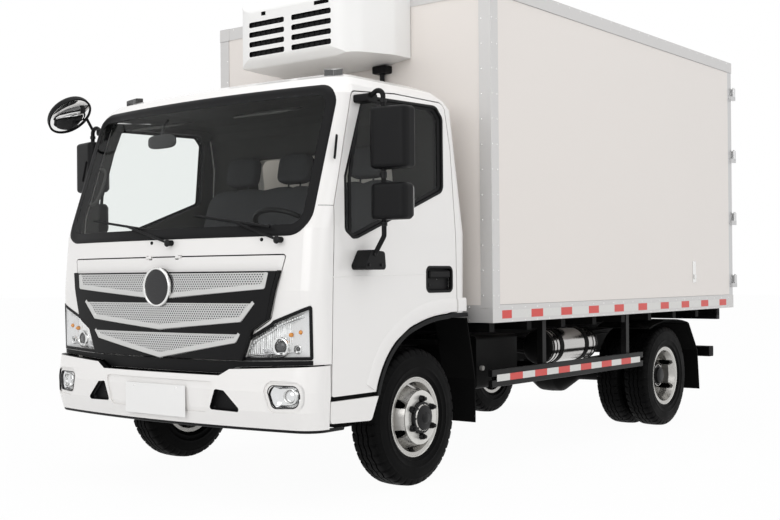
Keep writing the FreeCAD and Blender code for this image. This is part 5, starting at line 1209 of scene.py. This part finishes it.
def rear_fittings():
    """Seals round the rear doors, collars on the lock bars, the lamp board's lenses and the roof's lamps."""
    lenses = ((1036, 960, RED, "stop"), (956, 860, AMBER, "turn"), (856, 760, RED, "tail"),
              (756, 650, WHITE_LENS, "reverse"))

    def rear_face(x, z, d=0.0):
        """Points on the rear doors: x across, z up, d out."""
        y = REAR_DOOR_Y + np.asarray(d, float) + 0 * x
        return np.stack([np.asarray(x, float), y, np.asarray(z, float)], -1)

    for side, name in SIDES:
        door = f"box_door_{name}"
        low_x, high_x = sorted((side * 10, side * 1052))
        loop = outline([(low_x, 976, 14), (high_x, 976, 14), (high_x, 2876, 14), (low_x, 2876, 14)], 60)
        seal = band(loop, [(0, 0.3), (1, 5), (14, 6), (22, 4), (24, 0.3)], rear_face)
        new_piece(f"rear_door_seal_{name}", seal, door, SEAL)
        collar = [(-15, 14), (-14, 20), (14, 20), (15, 14)]
        collars = [turned(collar, (side * 120, 4433, z), (0, 0, 1), 24) for z in (990, 2866)]
        new_piece(f"lock_collars_{name}", collars, door, STEEL, closed=False)
        for near, far, material, label in lenses:
            lens = slab((side * near, 4330.1, 806), (side * far, 4341, 874), 3)
            new_piece(f"rear_lens_{label}_{name}", lens, "chassis", material)
    lamps = [slab((x - 34, REAR_DOOR_Y + 0.1, 2902), (x + 34, REAR_DOOR_Y + 10, 2926), 4)
             for x in (-1000, -500, 500, 1000)]
    new_piece("rear_marker_lamps", lamps, "chassis", RED)


def unit_fittings():
    """The small slots above the cooling unit's vents, as dark slabs of painted shade, and the fins behind
    the vents.
    """
    # The slots are slabs of painted shade.
    slots = [slab((left, 58.5, UNIT_FOOT + 328), (right, 68, UNIT_FOOT + 352), 1)
             for left, right in ((-222, -186), (216, 330))]
    new_piece("unit_slot_shade", slots, "chassis", VENT_SHADE)
    fins = []
    for row in range(4):
        z = UNIT_FOOT + VENT_FOOT + row * VENT_PITCH
        for left, right in ((-330, -30), (30, 345)):
            fins += [slab((left + 6, y, z + 4), (right - 6, y + 2, z + 30), 0.8) for y in (76, 86)]
            upright_x = np.arange(left + 40, right - 20, 44)
            fins += [slab((x, 70, z + 2), (x + 3, 100, z + 32), 0.8) for x in upright_x]
    new_piece("unit_fins", fins, "chassis", BLACK)


# The air tank's middle line
TANK_X, TANK_Z = 800, 690


def underbody_fittings():
    """Air lines on the rails, the tank's domed ends in black as painted shade, its hoops, the rails' bolts
    and the pale pipe end.
    """
    lines = []
    for side, _ in SIDES:
        x = side * 392
        path = [(x, 640, 742), (x, 1300, 728), (x - side * 4, 2000, 738), (x, 2900, 724), (x, 3900, 742)]
        lines.append(tube(smooth_path(path, 90), 9, 10))
        path = [(x + side * 6, 640, 700), (x + side * 4, 1500, 694), (x + side * 8, 2500, 706),
                (x + side * 4, 3800, 696)]
        lines.append(tube(smooth_path(path, 90), 6, 8))
    for path in ([(690, 1760, 640), (600, 1700, 660), (480, 1640, 700), (400, 1560, 716)],
                 [(700, 2300, 700), (620, 2420, 690), (500, 2500, 690), (398, 2560, 706)]):
        lines.append(tube(smooth_path(path, 50), 8, 10))
    new_piece("air_lines", lines, "chassis", SEAL)
    # The tank's domed ends are in chassis black as painted shade, standing in for the deep shade at the
    # tank's ends; the hoops are its black straps.
    rim = [(-26, 118.6), (-4, 119.2)]
    ends = [turned(np.concatenate([rim, dome(30, 116, 10)]), (TANK_X, y, TANK_Z), (0, way, 0), 72)
            for y, way in ((1710, -1), (2350, 1))]
    hoop = [(-5, 118.1), (-3, 120.4), (3, 120.4), (5, 118.1)]
    ends += [turned(hoop, (TANK_X, y, TANK_Z), (0, 1, 0), 72) for y in (1770, 2290)]
    new_piece("tank_shaded_ends_and_hoops", ends, "chassis", DARK)
    bolt = [(-0.3, 11), (6, 11), (8, 9), (8, 0)]
    bolts = [turned(bolt, (side * 350, y, 740), (side, 0, 0), 6)
             for side, _ in SIDES for y in np.arange(700, 4100, 210.0)]
    new_piece("rail_bolts", bolts, "chassis", STEEL, closed=False)
    path = [(384, 858, 656), (500, 868, 640), (640, 878, 622), (780, 886, 606), (880, 890, 600)]
    new_piece("pipe_end", tube(smooth_path(path, 50), 15, 16), "chassis", FLANGE)


door_fittings()
arch_flares()
mirror_glass()
mirror_clamps()
wiper_fittings()
seat_set()
cab_inside()
marking_tape()
rivets()
box_seams()
rear_fittings()
unit_fittings()
underbody_fittings()


# Stage, light and camera


def background_rays(tree):
    """1 for the rays that see the plain background: the camera's, reflected ones and those through glass."""
    path = tree.nodes.new("ShaderNodeLightPath")
    seen = math_node(tree, "MAXIMUM", path.outputs["Is Camera Ray"], path.outputs["Is Glossy Ray"])
    return math_node(tree, "MAXIMUM", seen, path.outputs["Is Transmission Ray"])


# How far the floor shows as plain white, the rest being its lit and shadowed self
FLOOR_WHITE = 0.965


def stage_floor():
    """A pale floor that blends with the white surroundings and keeps a faint shadow under the wheels."""
    mesh = bpy.data.meshes.new("floor")
    mesh.from_pydata([(-60, -60, 0), (60, -60, 0), (60, 60, 0), (-60, 60, 0)], [], [(0, 1, 2, 3)])
    floor = bpy.data.objects.new("floor", mesh)
    bpy.context.scene.collection.objects.link(floor)
    material = bpy.data.materials.new("pale floor")
    material.use_nodes = True
    tree = material.node_tree
    shader = tree.nodes["Principled BSDF"]
    shader.inputs["Base Color"].default_value = (0.80, 0.80, 0.80, 1)
    shader.inputs["Roughness"].default_value = 0.95
    shader.inputs["Specular IOR Level"].default_value = 0.0
    white = tree.nodes.new("ShaderNodeEmission")
    white.inputs["Color"].default_value = (1, 1, 1, 1)
    share = math_node(tree, "MULTIPLY", background_rays(tree), FLOOR_WHITE)
    mix = tree.nodes.new("ShaderNodeMixShader")
    tree.links.new(share, mix.inputs[0])
    tree.links.new(shader.outputs[0], mix.inputs[1])
    tree.links.new(white.outputs[0], mix.inputs[2])
    tree.links.new(mix.outputs[0], tree.nodes["Material Output"].inputs["Surface"])
    mesh.materials.append(material)


def surroundings():
    """White to the camera and in reflections; the light is a studio's, bright above and grey below."""
    world = bpy.data.worlds.new("studio")
    bpy.context.scene.world = world
    world.use_nodes = True
    tree = world.node_tree
    back = tree.nodes["Background"]
    place = tree.nodes.new("ShaderNodeTexCoord")
    parts = tree.nodes.new("ShaderNodeSeparateXYZ")
    tree.links.new(place.outputs["Generated"], parts.inputs[0])
    ramp = tree.nodes.new("ShaderNodeValToRGB")
    ramp.color_ramp.elements[0].position = 0.0
    ramp.color_ramp.elements[0].color = (0.42, 0.42, 0.42, 1)
    ramp.color_ramp.elements[1].position = 0.75
    ramp.color_ramp.elements[1].color = (0.98, 0.985, 1.0, 1)
    up = math_node(tree, "MULTIPLY_ADD", parts.outputs["Z"], 0.5, 0.5)
    tree.links.new(up, ramp.inputs[0])
    tree.links.new(ramp.outputs[0], back.inputs["Color"])
    back.inputs["Strength"].default_value = 0.86
    plain = tree.nodes.new("ShaderNodeBackground")
    plain.inputs["Color"].default_value = (1, 1, 1, 1)
    plain.inputs["Strength"].default_value = 1.0
    mix = tree.nodes.new("ShaderNodeMixShader")
    tree.links.new(background_rays(tree), mix.inputs[0])
    tree.links.new(back.outputs[0], mix.inputs[1])
    tree.links.new(plain.outputs[0], mix.inputs[2])
    tree.links.new(mix.outputs[0], tree.nodes["World Output"].inputs["Surface"])


def area_light(name, place, target, size, power):
    """A soft rectangular light aimed at a point."""
    data = bpy.data.lights.new(name, "AREA")
    data.shape = "RECTANGLE"
    data.size, data.size_y = size
    data.energy = power
    lamp = bpy.data.objects.new(name, data)
    lamp.location = place
    lamp.rotation_mode = "QUATERNION"
    lamp.rotation_quaternion = (Vector(target) - Vector(place)).to_track_quat("-Z", "Y")
    bpy.context.scene.collection.objects.link(lamp)


# The photo's camera: its place in metres, its heading, pitch and roll in degrees, its lens and its shift
CAMERA_PLACE = (4.879, AXLE_Y - 5.423, 1.177)
CAMERA_TURNS = (39.583, 0.221, -0.474)
CAMERA_LENS = 54.58
CAMERA_SHIFT = (0.0736, 0.0164)


def camera():
    """The camera of the photo: its place, heading, pitch and roll, and a small shift."""
    heading, pitch, roll = (math.radians(turn) for turn in CAMERA_TURNS)
    level_part = math.cos(pitch)
    forward = Vector((-math.sin(heading) * level_part, math.cos(heading) * level_part, math.sin(pitch)))
    right = forward.cross(Vector((0, 0, 1))).normalized()
    up = right.cross(forward)
    turned_right = right * math.cos(roll) + up * math.sin(roll)
    turned_up = up * math.cos(roll) - right * math.sin(roll)
    data = bpy.data.cameras.new("camera")
    data.sensor_fit = "HORIZONTAL"
    data.sensor_width = 36
    data.lens = CAMERA_LENS
    data.shift_x, data.shift_y = CAMERA_SHIFT
    data.clip_start, data.clip_end = 0.1, 200
    view = bpy.data.objects.new("camera", data)
    axes = Matrix((turned_right, turned_up, -forward)).transposed().to_4x4()
    view.matrix_world = Matrix.Translation(CAMERA_PLACE) @ axes
    bpy.context.scene.collection.objects.link(view)
    bpy.context.scene.camera = view


stage_floor()
surroundings()
area_light("overhead light", (1.0, -1.5, 7.5), (0, 0, 1.0), (9, 7), 160)
area_light("front light", (2.0, -10.0, 4.2), (0, -2.0, 1.2), (6, 4), 170)
area_light("side light", (10.0, -1.0, 4.0), (0, 0.5, 1.3), (7, 4), 90)
camera()
bpy.context.scene.view_settings.view_transform = "Standard"
